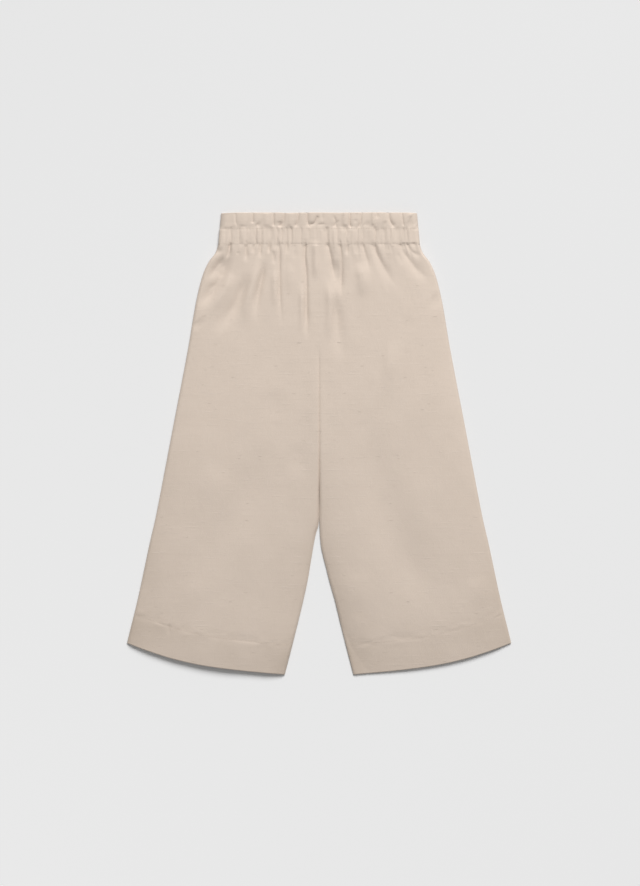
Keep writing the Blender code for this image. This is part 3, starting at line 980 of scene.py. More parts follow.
@dataclass
class BackLeg(LegPanel):
    """A back panel: it lies flat on the surface, lifted only where its own gathers are pinched."""

    layer: str = "back"
    wall: float = 0.6
    hem_wall: float = 1.3
    rim: float = 2.4
    even_columns: int = 74
    row_spans: tuple[Span, ...] = (
        (-1.0, 4.0, 1.0), (4.0, 96.0, 1.6), (96.0, 150.0, 3.0), (150.0, 450.0, 6.0), (450.0, 470.0, 1.6),
        (470.0, 493.6, 3.0), (493.6, 494.8, 0.3),
    )
    most_lift: float = 1.3
    lift_share: float = 0.62
    pleat_reach: float = 40.0
    settled: float = 0.06
    dip_share: float = 0.5
    dip_reach: float = 1.7
    hem_line_lift: float = 0.25
    groove_share: float = 0.7
    groove_width: float = 1.2

    def lift(self, at: Laid) -> Array:
        """How far the outer face stands off the surface.

        Args:
            at: The laid points.

        Returns:
            The height at each point.
        """
        below_seam = np.clip(at.down, 0.0, None)
        lift = -total_relief([crease.mirrored(self.lift_share) for crease in WAIST_CREASES], at.x, at.down)
        lift += np.exp(-below_seam / self.pleat_reach) * BACK_PLEATS.at(at.x, at.down)
        lift += BACK_SWELL.at(at.x, at.down) - self.settled
        lift += self.dip_share * dip_depth(-at.x) * bell(below_seam, self.dip_reach)
        lift += self.hem_line_lift * bell(at.row - self.cut.hem_line, self.hem_line_width)
        lift = self.most_lift * np.tanh(np.clip(lift, 0.0, None) / self.most_lift)
        return np.minimum(lift + self.groove_share * self.groove(at, self.groove_width), self.most_lift)

    def faces(self, at: Laid) -> Faces:
        """The heights of the panel's two faces. The outer one looks down.

        Args:
            at: The laid points.

        Returns:
            The outer face's heights and the inner face's.
        """
        lift = self.lift(at)
        level = self.parting + self.parting_gap
        rolled = self.rolled(at, self.rim)
        outer = level + (lift - level) * rolled
        inner = level + (lift + self.thickness(at) - level) * rolled
        return self.round_hem(at, outer, np.maximum(inner, outer + LEAST_WALL))


# ------------------------------------------------------------------------------- the waistband


@dataclass
class Waistband:
    """The front half of the paperbag waistband: the elastic's casing, with a frill standing above it."""

    cut: Cut
    finish: Material
    layer: str = "front"
    height: float = 36.0
    casing: float = 17.5
    seam_half: float = 115.7
    frill_half: float = 112.6
    seam_overlap: float = 0.3
    wall: float = 0.5
    rim: tuple[Pair, ...] = ((0, 3.6), (17, 6.0), (36, 9.0))
    inset: float = 0.7
    soft_end: float = 1.7
    soft_end_reach: float = 13.0
    pinch_reach: float = 3.4
    dip_reach: float = 1.3
    foot_reach: float = 2.2
    gathers_kept: Pair = (14.5, 17.5)
    gathers_end: Pair = (17.5, 20.5)
    gathers_lost: float = 0.35
    ridges_from: Pair = (15.0, 23.0)
    furrows_from: Pair = (15.2, 22.4)
    furrow_share: float = 0.72
    even_columns: int = 356
    row_gap: float = 0.62
    top_rows: tuple[float, ...] = (1.2, 0.8, 0.5, 0.25, 0.08, 0.0)
    seam_rows: tuple[float, ...] = (0.0, 0.08, 0.3, 0.6)
    crown: tuple[Pair, ...] = (
        (0, 7.75), (1.0, 7.8), (4, 7.9), (9, 8.0), (13.5, 8.0), (16.4, 8.0), (17.5, 8.0), (19.5, 8.15),
        (22, 8.45), (25.5, 8.85), (29, 9.1), (33, 9.2), (36, 9.2),
    )
    parting: tuple[Pair, ...] = ((0, 3.7), (1, 3.9), (15.5, 3.9), (17.5, 3.0), (22, 2.0), (36, 1.8))
    parting_gap: float = 0.1
    fold_thick: float = 1.3
    fold_round: float = 1.2
    fold_span: Pair = (17.5, 23.0)
    hollow_ups: Pair = (2.0, 15.6)
    hollow_end: float = 4.4
    hollow_far: float = 4.5
    hollow_near: float = 6.35
    hollow_wall: float = 0.12
    elastic_top: float = 6.75
    elastic_soft: float = 0.2
    elastic_start: Pair = (0.2, 2.6)
    elastic_end: Pair = (15.0, 17.4)
    flat: Pair = (0.3, 0.038)

    @property
    def name(self) -> str:
        """The piece's name."""
        return f"waistband_{self.layer}"

    def half_width(self, up: Array) -> Array:
        """Half the band's length at a height above the seam."""
        return self.seam_half + (self.frill_half - self.seam_half) * up / self.height

    def grid(self) -> tuple[Array, Array, Array]:
        """The band's grid.

        Returns:
            Places across, heights above the seam, and distances in from the nearer end.
        """
        fold = self.height - np.array(self.top_rows)
        low = np.array(self.seam_rows)
        count = round((fold[0] - low[-1]) / self.row_gap)
        ups = np.concatenate([low, np.linspace(low[-1], fold[0], count)[1:-1], fold])[::-1]
        half = self.half_width(ups)
        share = stations(2.0 * half, self.even_columns)
        up = np.broadcast_to(ups[:, None], share.shape)
        x = (2.0 * share - 1.0) * half[:, None]
        return x, up, half[:, None] - np.abs(x)

    def relief(self, x: Array, up: Array) -> Array:
        """The gathers, the frill's creases and the seam's pull.

        Args:
            x: Places across.
            up: Heights above the seam.

        Returns:
            The height over the band's crown.
        """
        casing = 1.0 - self.gathers_lost * ease(*self.gathers_kept, up)
        casing *= 1.0 - ease(*self.gathers_end, up)
        frill = total_relief(FRILL_CREASES, x, -up) + FRILL_RIPPLE.at(x, up) + FRILL_SWELL.at(x, up)
        height = (gather_relief(x, up) + broad_gathers(x, -up)) * casing
        height += np.maximum(frill, 0.0) * ease(*self.ridges_from, up)
        height += self.furrow_share * np.minimum(frill, 0.0) * ease(*self.furrows_from, up)
        height += seam_pinch(x) * bell(up, self.pinch_reach)
        height += FRILL_FOOT.at(x, up) * bell(up - self.casing, self.foot_reach)
        return height - dip_depth(x) * bell(up, self.dip_reach)

    def folded_over(self, near: Array, up: Array, from_end: Array, out: int) -> Faces:
        """Both faces of the band, from how high the outer one is before its ends are rolled.

        Args:
            near: The outer face's heights.
            up: Heights above the seam.
            from_end: Distances in from the nearer end.
            out: Which way the outer face looks: 1 for up, -1 for down.

        Returns:
            The outer face's heights and the inner face's.
        """
        level = through(up, self.parting)
        rim = through(up, self.rim)
        edge = level - out * self.parting_gap
        outer = edge + (near - edge) * roll(from_end, rim)
        inside = level + (near - out * self.fold_thick - level) * ease(*self.fold_span, up)
        inner = edge + (inside - edge) * roll(from_end - self.inset, rim)
        inner = out * np.minimum(out * inner, out * outer - LEAST_WALL)
        return folded(outer, inner, self.height - up, self.fold_round)

    def faces(self, x: Array, up: Array, from_end: Array) -> Faces:
        """The heights of the band's two faces.

        Args:
            x: Places across.
            up: Heights above the seam.
            from_end: Distances in from the nearer end.

        Returns:
            The outer face's heights and the inner face's.
        """
        tall = through(up, self.crown) + self.relief(x, up)
        tall -= self.soft_end * np.exp(-from_end / self.soft_end_reach)
        return self.folded_over(tall + self.over_elastic(tall, up), up, from_end, 1)

    def over_elastic(self, tall: Array, up: Array) -> Array:
        """How much the elastic holds up the casing's furrows, from the outer face's height without it.

        Args:
            tall: The outer face's heights, as the gathers leave them.
            up: Heights above the seam.

        Returns:
            The height to add.
        """
        soft = self.elastic_soft
        held = self.elastic_top + soft * np.log1p(np.exp((tall - self.elastic_top) / soft))
        return (held - tall) * ease(*self.elastic_start, up) * (1.0 - ease(*self.elastic_end, up))

    def hollow_face(self, outer: Array) -> Array:
        """The side of the casing's hollow that lies next to the outer face."""
        return np.minimum(np.maximum(outer - self.wall, self.hollow_near), outer - self.hollow_wall)

    def hollow(self, x: Array, up: Array, outer: Array) -> Skin:
        """The space in the casing that the elastic runs through.

        Args:
            x: The grid's places across.
            up: The grid's heights above the seam.
            outer: The outer face's heights.

        Returns:
            The hollow's side next to the outer face, and the far one.
        """
        low, high = self.hollow_ups
        rows = (up[:, 0] > low) & (up[:, 0] < high)
        columns = np.abs(x[rows]).max(axis=0) < self.seam_half - self.hollow_end
        pick = np.ix_(rows, columns)
        y = self.cut.y(-up[pick])
        near = self.hollow_face(outer[pick])
        far = np.full_like(near, self.hollow_far)
        return Skin(np.stack([x[pick], y, near], axis=2), np.stack([x[pick], y, far], axis=2))

    def top_edge(self, x: Array, up: Array) -> Array:
        """How far the frill's folded edge wanders from a straight line."""
        return FRILL_EDGE.at(x, up) * (up / self.height) ** 3

    def build(self, rests_on: Sequence[str], stitches: Sequence[Piece]) -> Piece:
        """Makes the half band, and hides the frame's part that it stands in for.

        Args:
            rests_on: What it lies on; not used.
            stitches: The stitches in it; not used.

        Returns:
            The piece.
        """
        x, up, from_end = self.grid()
        outer, inner = self.faces(x, up, from_end)
        y = self.cut.y(-up) + self.top_edge(x, up) - self.seam_overlap
        skin = Skin(np.stack([x, y, outer], axis=2), np.stack([x, y, inner], axis=2))
        skins = [(skin, False), (self.hollow(x, up, outer), True)]
        piece = sheet_object(self.name + "_cloth", skins, self.finish)
        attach(piece, BODY)
        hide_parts(self.name)
        LOG.info("%s: %d faces", piece.name, len(piece.data.polygons))
        return piece


@dataclass
class BackWaistband(Waistband):
    """The back half: the same band, lying flat, with its furrows pinched up off the surface."""

    layer: str = "back"
    even_columns: int = 236
    row_gap: float = 1.1
    rim: tuple[Pair, ...] = ((0, 3.6), (36, 3.6))
    inset: float = 0.5
    parting: tuple[Pair, ...] = ((0, 3.4), (1, 3.5), (15.5, 3.5), (17.5, 2.4), (22, 1.9), (36, 1.7))
    fold_round: float = 0.8
    hollow_far: float = 2.75
    hollow_near: float = 1.2
    pull_share: float = 0.7
    most_lift: float = 0.75
    seam_lift: float = 0.6
    casing_line: float = 0.9
    seam_line: float = 0.7

    def faces(self, x: Array, up: Array, from_end: Array) -> Faces:
        """The heights of the band's two faces. The outer one looks down.

        Args:
            x: Places across.
            up: Heights above the seam.
            from_end: Distances in from the nearer end.

        Returns:
            The outer face's heights and the inner face's.
        """
        pull = np.clip(-self.relief(-x, up), 0.0, None)
        lift = self.most_lift * np.tanh(self.pull_share * pull / self.most_lift)
        lift += self.seam_lift * (bell(up - self.casing, self.casing_line) + bell(up, self.seam_line))
        return self.folded_over(lift, up, from_end, -1)

    def hollow_face(self, outer: Array) -> Array:
        """The side of the casing's hollow that lies next to the outer face."""
        return np.maximum(np.minimum(outer + self.wall, self.hollow_near), outer + self.hollow_wall)


# ------------------------------------------------------------------------------- stitches


@dataclass(frozen=True)
class Stitch:
    """One stitch of sewing thread: a short round bar with its ends drawn down into the cloth."""

    length: float = 2.3
    radius: float = 0.16
    corners: int = 6
    straight: float = 0.55
    drop: float = 1.1
    taper: float = 0.6
    end_facing: float = 0.9

    def model(self) -> Piece:
        """Models the stitch along x at the origin.

        Returns:
            The stitch.
        """
        bpy.ops.object.select_all(action="DESELECT")
        straight = self.straight * self.length * MM
        bpy.ops.mesh.primitive_cylinder_add(
            vertices=self.corners, radius=self.radius * MM, depth=straight, rotation=(0.0, math.pi / 2, 0.0)
        )
        stitch = bpy.context.object
        bpy.ops.object.transform_apply(location=True, rotation=True, scale=True)
        for end in (-1, 1):
            self._draw_down(stitch, end)
        return stitch

    def _draw_down(self, stitch: Piece, end: int) -> None:
        """Extrudes one end, and turns it down and thinner.

        Args:
            stitch: The stitch.
            end: Which end, as the sign of its x.
        """
        bpy.ops.object.mode_set(mode="EDIT")
        bpy.ops.mesh.select_mode(type="FACE")
        bpy.ops.mesh.select_all(action="DESELECT")
        mesh = bmesh.from_edit_mesh(stitch.data)
        for face in mesh.faces:
            face.select_set(face.normal.x * end > self.end_facing)
        bmesh.update_edit_mesh(stitch.data)
        reach = 0.5 * (1.0 - self.straight) * self.length * MM
        move = {"value": (end * reach, 0.0, -self.drop * self.radius * MM)}
        bpy.ops.mesh.extrude_region_move(TRANSFORM_OT_translate=move)
        bpy.ops.transform.resize(value=(1.0, self.taper, self.taper))
        bpy.ops.object.mode_set(mode="OBJECT")


@dataclass
class StitchRow:
    """A line of machine stitches along a path on the cloth."""

    name: str
    path: Array
    finish: Material
    stitch: Stitch = field(default_factory=Stitch)
    gap: float = 0.6
    stands: float = 0.02
    upward: float = 1.0
    seed: int = 5
    uneven: float = 0.12
    skew: float = 0.05

    @staticmethod
    def _from_least(face: tuple[int, ...]) -> tuple[int, ...]:
        """The same face counted from its least corner, so that every run writes it alike."""
        start = face.index(min(face))
        return face[start:] + face[:start]

    def build(self) -> Piece:
        """Makes the row as one joined piece.

        Returns:
            The piece.
        """
        model = self.stitch.model()
        shape = np.array([vert.co for vert in model.data.vertices]) / MM
        sides = sorted(self._from_least(tuple(face.vertices)) for face in model.data.polygons)
        bpy.data.objects.remove(model, do_unlink=True)
        along = np.concatenate([[0.0], np.cumsum(np.linalg.norm(np.diff(self.path, axis=0), axis=1))])
        pitch = self.stitch.length + self.gap
        count = int(along[-1] / pitch)
        chance = np.random.default_rng(self.seed)
        points = []
        faces = []
        for k in range(count):
            middle = (k + 0.5) * pitch + chance.uniform(-self.uneven, self.uneven)
            here, ahead = (
                np.array([np.interp(middle + step, along, part) for part in self.path.T]) for step in (-1, 1)
            )
            forward = (ahead - here) / np.linalg.norm(ahead - here)
            sideways = np.cross([0.0, 0.0, self.upward], forward)
            sideways = sideways / np.linalg.norm(sideways)
            lifted = np.cross(forward, sideways)
            centre = 0.5 * (here + ahead) + lifted * self.stands
            turn = np.stack([forward, sideways + forward * chance.uniform(-self.skew, self.skew), lifted])
            points.append(centre + shape @ turn)
            faces += [tuple(v + k * len(shape) for v in side) for side in sides]
        data = bpy.data.meshes.new(self.name)
        data.from_pydata((np.concatenate(points) * MM).tolist(), [], faces)
        data.polygons.foreach_set("use_smooth", [True] * len(data.polygons))
        data.materials.append(self.finish)
        piece = bpy.data.objects.new(self.name, data)
        bpy.context.scene.collection.objects.link(piece)
        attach(piece, BODY)
        LOG.info("%s: %d stitches", self.name, count)
        return piece


# ------------------------------------------------------------------------------- finishes


@dataclass
class Wiring:
    """A node tree being wired."""

    tree: bpy.types.NodeTree

    def add(self, kind: str, values: Optional[dict] = None, **settings: object) -> bpy.types.Node:
        """Adds a node.

        Args:
            kind: The node's type.
            values: Input sockets' values, by name or number.
            **settings: The node's own properties.

        Returns:
            The node.
        """
        node = self.tree.nodes.new(kind)
        for key, value in settings.items():
            setattr(node, key, value)
        for key, value in (values or {}).items():
            node.inputs[key].default_value = value
        return node

    def link(self, source: Socket, target: Socket) -> None:
        """Joins an output to an input."""
        self.tree.links.new(source, target)

    def math(self, operation: str, *terms: object) -> Socket:
        """A sum on numbers and sockets.

        Args:
            operation: The Math node's operation.
            *terms: Its inputs.

        Returns:
            The result.
        """
        node = self.add("ShaderNodeMath", operation=operation)
        for socket, term in zip(node.inputs, terms):
            if isinstance(term, (int, float)):
                socket.default_value = term
            else:
                self.link(term, socket)
        return node.outputs[0]

    def times(self, value: object, other: object) -> Socket:
        """One value times another."""
        return self.math("MULTIPLY", value, other)

    def less(self, value: object, other: object) -> Socket:
        """One value less another."""
        return self.math("SUBTRACT", value, other)

    def either_way(self, noise: Socket, strength: object) -> Socket:
        """A noise as a change up or down, at a strength."""
        return self.times(self.less(noise, 0.5), strength)

    def ridges(self, value: Socket, width: float) -> Socket:
        """Ridges across a coordinate, one to each width: 0 between them and 1 along their tops."""
        return self.math("ABSOLUTE", self.math("SINE", self.times(value, math.pi / width)))

    def parts(self, place: Socket) -> bpy.types.bpy_prop_collection:
        """The three parts of a place.

        Args:
            place: The place.

        Returns:
            The parts, by the names X, Y and Z.
        """
        node = self.add("ShaderNodeSeparateXYZ")
        self.link(place, node.inputs[0])
        return node.outputs

    def remap(self, value: Socket, low: float, high: float,
              to: Pair = (0.0, 1.0)) -> Socket:
        """A soft step between two values.

        Args:
            value: What is read.
            low: Where the step starts.
            high: Where it ends.
            to: The values before and after.

        Returns:
            The stepped value.
        """
        settings = {"From Min": low, "From Max": high, "To Min": to[0], "To Max": to[1]}
        node = self.add("ShaderNodeMapRange", settings, interpolation_type="SMOOTHSTEP")
        self.link(value, node.inputs["Value"])
        return node.outputs["Result"]

    def noise(self, place: Socket, across: float, along: float, detail: float,
              offset: float) -> Socket:
        """Noise with its own scale each way.

        Args:
            place: The coordinates, in metres.
            across: Cells for each metre of x.
            along: Cells for each metre of y.
            detail: Octaves.
            offset: Moves the pattern, so that two of them differ.

        Returns:
            The noise, about 0.5 on average.
        """
        move = (offset, 0.7 * offset, 0.0)
        mapping = self.add("ShaderNodeMapping", {"Scale": (across, along, 1.0), "Location": move})
        self.link(place, mapping.inputs["Vector"])
        node = self.add("ShaderNodeTexNoise", {"Scale": 1.0, "Detail": detail, "Roughness": 0.5})
        self.link(mapping.outputs["Vector"], node.inputs["Vector"])
        return node.outputs["Fac"]

    def mix(self, share: object, first: object, second: object, **settings: object) -> Socket:
        """One colour changing to another.

        Args:
            share: How far it has changed, as a number or a socket.
            first: The first colour, as numbers or a socket.
            second: The second one.
            **settings: The node's own properties.

        Returns:
            The mixed colour.
        """
        node = self.add("ShaderNodeMix", data_type="RGBA", **settings)
        for number, value in ((0, share), (6, first), (7, second)):
            if isinstance(value, Socket):
                self.link(value, node.inputs[number])
            else:
                node.inputs[number].default_value = (*value, 1.0) if isinstance(value, tuple) else value
        return node.outputs[2]

    def bump(self, height: Socket, distance: float, strength: float = 1.0,
             under: Optional[Socket] = None) -> Socket:
        """Fine relief in the shading.

        Args:
            height: The relief.
            distance: How high it stands, in metres.
            strength: How strongly it shows.
            under: The relief that it lies on.

        Returns:
            The shading normal.
        """
        node = self.add("ShaderNodeBump", {"Strength": strength, "Distance": distance})
        self.link(height, node.inputs["Height"])
        if under is not None:
            self.link(under, node.inputs["Normal"])
        return node.outputs["Normal"]


def new_group(name: str, amount: str, value: float,
              outputs: Sequence[str]) -> tuple[Wiring, bpy.types.Node, bpy.types.Node]:
    """Starts a shader node group that reads a place and one amount.

    Args:
        name: The group's name.
        amount: The amount's name.
        value: What the amount is if nothing sets it.
        outputs: The names of its value outputs.

    Returns:
        The wiring, its input node and its output node.
    """
    tree = bpy.data.node_groups.new(name, "ShaderNodeTree")
    tree.interface.new_socket("Place", in_out="INPUT", socket_type="NodeSocketVector")
    tree.interface.new_socket(amount, in_out="INPUT", socket_type="NodeSocketFloat").default_value = value
    for word in outputs:
        tree.interface.new_socket(word, in_out="OUTPUT", socket_type="NodeSocketFloat")
    wiring = Wiring(tree)
    return wiring, wiring.add("NodeGroupInput"), wiring.add("NodeGroupOutput")


def new_material(name: str, **inputs: float) -> tuple[Material, Wiring, bpy.types.Node]:
    """Starts a material.

    Args:
        name: The material's name.
        **inputs: Values for its shader, with _ for the spaces in their names.

    Returns:
        The material, its wiring and its shader.
    """
    material = bpy.data.materials.new(name)
    material.use_nodes = True
    shader = material.node_tree.nodes["Principled BSDF"]
    for word, value in inputs.items():
        shader.inputs[word.replace("_", " ")].default_value = value
    return material, Wiring(material.node_tree), shader


THREAD_WANDER = 0.0004
THREAD_WANDER_CELLS = 70.0
WEAVE_SOFTNESS = 0.4


def weave_group() -> bpy.types.NodeTree:
    """A plain weave: each thread goes over one and under the next, and no thread is quite straight.

    Returns:
        The group, which gives the height and the gaps.
    """
    w, given, made = new_group("plain weave", "Pitch", 0.0005, ("Height", "Gap"))
    place = given.outputs["Place"]
    parts = w.parts(place)
    waves = []
    for axis, offset in (("X", 3.0), ("Y", 8.0)):
        noise = w.noise(place, THREAD_WANDER_CELLS, THREAD_WANDER_CELLS, 1.0, offset)
        drifted = w.math("ADD", parts[axis], w.either_way(noise, THREAD_WANDER))
        turn = w.math("DIVIDE", drifted, given.outputs["Pitch"])
        waves.append(w.math("SINE", w.times(turn, math.pi)))
    over = w.remap(w.times(*waves), -WEAVE_SOFTNESS, WEAVE_SOFTNESS)
    warp, weft = (w.math("ABSOLUTE", wave) for wave in waves)
    w.link(w.math("ADD", w.times(warp, over), w.times(weft, w.less(1.0, over))), made.inputs["Height"])
    w.link(w.times(w.less(1.0, warp), w.less(1.0, weft)), made.inputs["Gap"])
    return w.tree


def slub_group() -> bpy.types.NodeTree:
    """Thick places in the yarn: long faint ones both ways, and a few short strong ones across.

    Returns:
        The group, which gives the slubs, the flecks and the streaks.
    """
    w, given, made = new_group("yarn slubs", "Amount", 1.0, ("Slub", "Fleck", "Streak"))
    place, amount = given.outputs["Place"], given.outputs["Amount"]
    across = w.remap(w.noise(place, 34.0, 1050.0, 1.0, 2.0), 0.60, 0.80)
    along = w.remap(w.noise(place, 1050.0, 26.0, 1.0, 5.0), 0.62, 0.84)
    fleck = w.remap(w.noise(place, 125.0, 760.0, 0.0, 11.0), 0.80, 0.86)
    w.link(w.times(w.math("MAXIMUM", across, w.times(along, 0.6)), amount), made.inputs["Slub"])
    w.link(w.times(fleck, amount), made.inputs["Fleck"])
    w.link(w.noise(place, 9.0, 520.0, 2.0, 17.0), made.inputs["Streak"])
    return w.tree


@dataclass(frozen=True)
class LinenFinish:
    """Washed natural linen: a fine uneven plain weave, dull, with faint streaks and a few slubs."""

    name: str = "linen"
    colour: Colour = (0.644, 0.544, 0.461)
    shade: Colour = (0.547, 0.457, 0.378)
    light: Colour = (0.676, 0.585, 0.506)
    pitch: float = 0.00052
    roughness: Pair = (0.84, 0.95)
    mottled: float = 0.34
    # Painted shade in the weave's gaps between the threads.
    gap_painted_shade: float = 0.5
    speckled: float = 0.22
    streaked: float = 0.30
    slub_share: float = 0.45
    fleck_share: float = 0.35
    thread_height: float = 0.00007
    fuzz_height: float = 0.00006
    slub_height: float = 0.00010
    fleck_height: float = 0.00018
    crumple_height: float = 0.00018

    def build(self, weave: bpy.types.NodeTree, slubs: bpy.types.NodeTree) -> Material:
        """Makes the material.

        Args:
            weave: The weave group.
            slubs: The slub group.

        Returns:
            The material, which reads the pieces' flat places.
        """
        material, w, shader = new_material(
            self.name, Sheen_Weight=0.08, Sheen_Roughness=0.6, Specular_IOR_Level=0.25
        )
        place = w.add("ShaderNodeUVMap", uv_map="weave").outputs["UV"]
        woven = w.add("ShaderNodeGroup", node_tree=weave)
        woven.inputs["Pitch"].default_value = self.pitch
        yarn = w.add("ShaderNodeGroup", node_tree=slubs)
        for node in (woven, yarn):
            w.link(place, node.inputs["Place"])
        fine = w.noise(place, 620.0, 900.0, 2.0, 41.0)
        depth = w.either_way(w.noise(place, 38.0, 30.0, 3.0, 31.0), self.mottled)
        # Darker in the weave's gaps between the threads: painted shade.
        depth = w.math("ADD", depth, w.times(woven.outputs["Gap"], self.gap_painted_shade))
        depth = w.math("ADD", depth, w.either_way(fine, self.speckled))
        depth = w.math("ADD", depth, w.either_way(yarn.outputs["Streak"], self.streaked))
        # Painted shade from the mesh attribute: darker along the legs' side folds, inner edges and hems.
        depth = w.math("ADD", depth, w.add("ShaderNodeAttribute", attribute_name="tone").outputs["Fac"])
        base = w.mix(depth, self.colour, self.shade, clamp_factor=False)
        base = w.mix(w.times(yarn.outputs["Slub"], self.slub_share), base, self.light)
        base = w.mix(w.times(yarn.outputs["Fleck"], self.fleck_share), base, self.shade)
        w.link(base, shader.inputs["Base Color"])
        w.link(w.remap(fine, 0.2, 0.8, self.roughness), shader.inputs["Roughness"])
        normal = None
        for height, distance in (
            (woven.outputs["Height"], self.thread_height),
            (fine, self.fuzz_height),
            (yarn.outputs["Slub"], self.slub_height),
            (yarn.outputs["Fleck"], self.fleck_height),
            (w.noise(place, 150.0, 110.0, 3.0, 51.0), self.crumple_height),
        ):
            normal = w.bump(height, distance, under=normal)
        w.link(normal, shader.inputs["Normal"])
        return material


@dataclass(frozen=True)
class RibbedFinish:
    """What the thread and the elastic share: one relief that roughens the surface and is painted darker in
    its grooves, as painted shade.
    """

    name: str
    colour: Colour
    shade: Colour
    roughness: float
    relief: float
    strength: float = 1.0

    def height(self, w: Wiring, parts: bpy.types.bpy_prop_collection) -> Socket:
        """The relief, from the parts of a place."""
        raise NotImplementedError

    def build(self) -> Material:
        """Makes the material.

        Returns:
            The material.
        """
        material, w, shader = new_material(self.name, Roughness=self.roughness)
        height = self.height(w, w.parts(w.add("ShaderNodeTexCoord").outputs["Object"]))
        # Painted shade: the colour goes to the darker one in the relief's grooves.
        colour = w.mix(w.less(1.0, height), self.colour, self.shade, clamp_factor=False)
        w.link(colour, shader.inputs["Base Color"])
        w.link(w.bump(height, self.relief, self.strength), shader.inputs["Normal"])
        return material


@dataclass(frozen=True)
class ThreadFinish(RibbedFinish):
    """Matt sewing thread, a little deeper than the linen, with its twist."""

    name: str = "thread"
    colour: Colour = (0.607, 0.514, 0.431)
    # The painted shade in the twist's grooves.
    shade: Colour = (0.521, 0.433, 0.354)
    roughness: float = 0.8
    relief: float = 0.00005
    strength: float = 0.8
    twist: float = 0.0004
    slant: float = 1.6

    def height(self, w: Wiring, parts: bpy.types.bpy_prop_collection) -> Socket:
        """The twisted plies, which run on a slant."""
        return w.ridges(w.math("ADD", parts["X"], w.times(parts["Y"], self.slant)), self.twist)


@dataclass(frozen=True)
class ElasticFinish(RibbedFinish):
    """Braided white elastic: cords of rubber running along it under a tight cross braid."""

    name: str = "elastic_braid"
    colour: Colour = (0.80, 0.79, 0.76)
    # The painted shade between the cords and under the braid.
    shade: Colour = (0.56, 0.55, 0.52)
    roughness: float = 0.72
    relief: float = 0.00025
    cord: float = 0.0012
    braid: float = 0.0009
    slant: float = 0.0006
    braid_share: float = 0.4

    def height(self, w: Wiring, parts: bpy.types.bpy_prop_collection) -> Socket:
        """The cords, with the braid over them.

        Args:
            w: The wiring.
            parts: The parts of a place.

        Returns:
            The relief.
        """
        cords = w.math("POWER", w.ridges(parts["Y"], self.cord), 0.5)
        slanted = w.math("ADD", parts["X"], w.times(w.ridges(parts["Y"], 2.0 * self.cord), self.slant))
        braid = w.times(w.ridges(slanted, self.braid), self.braid_share)
        return w.times(cords, w.math("ADD", 1.0 - self.braid_share, braid))


# ------------------------------------------------------------------------------- the studio


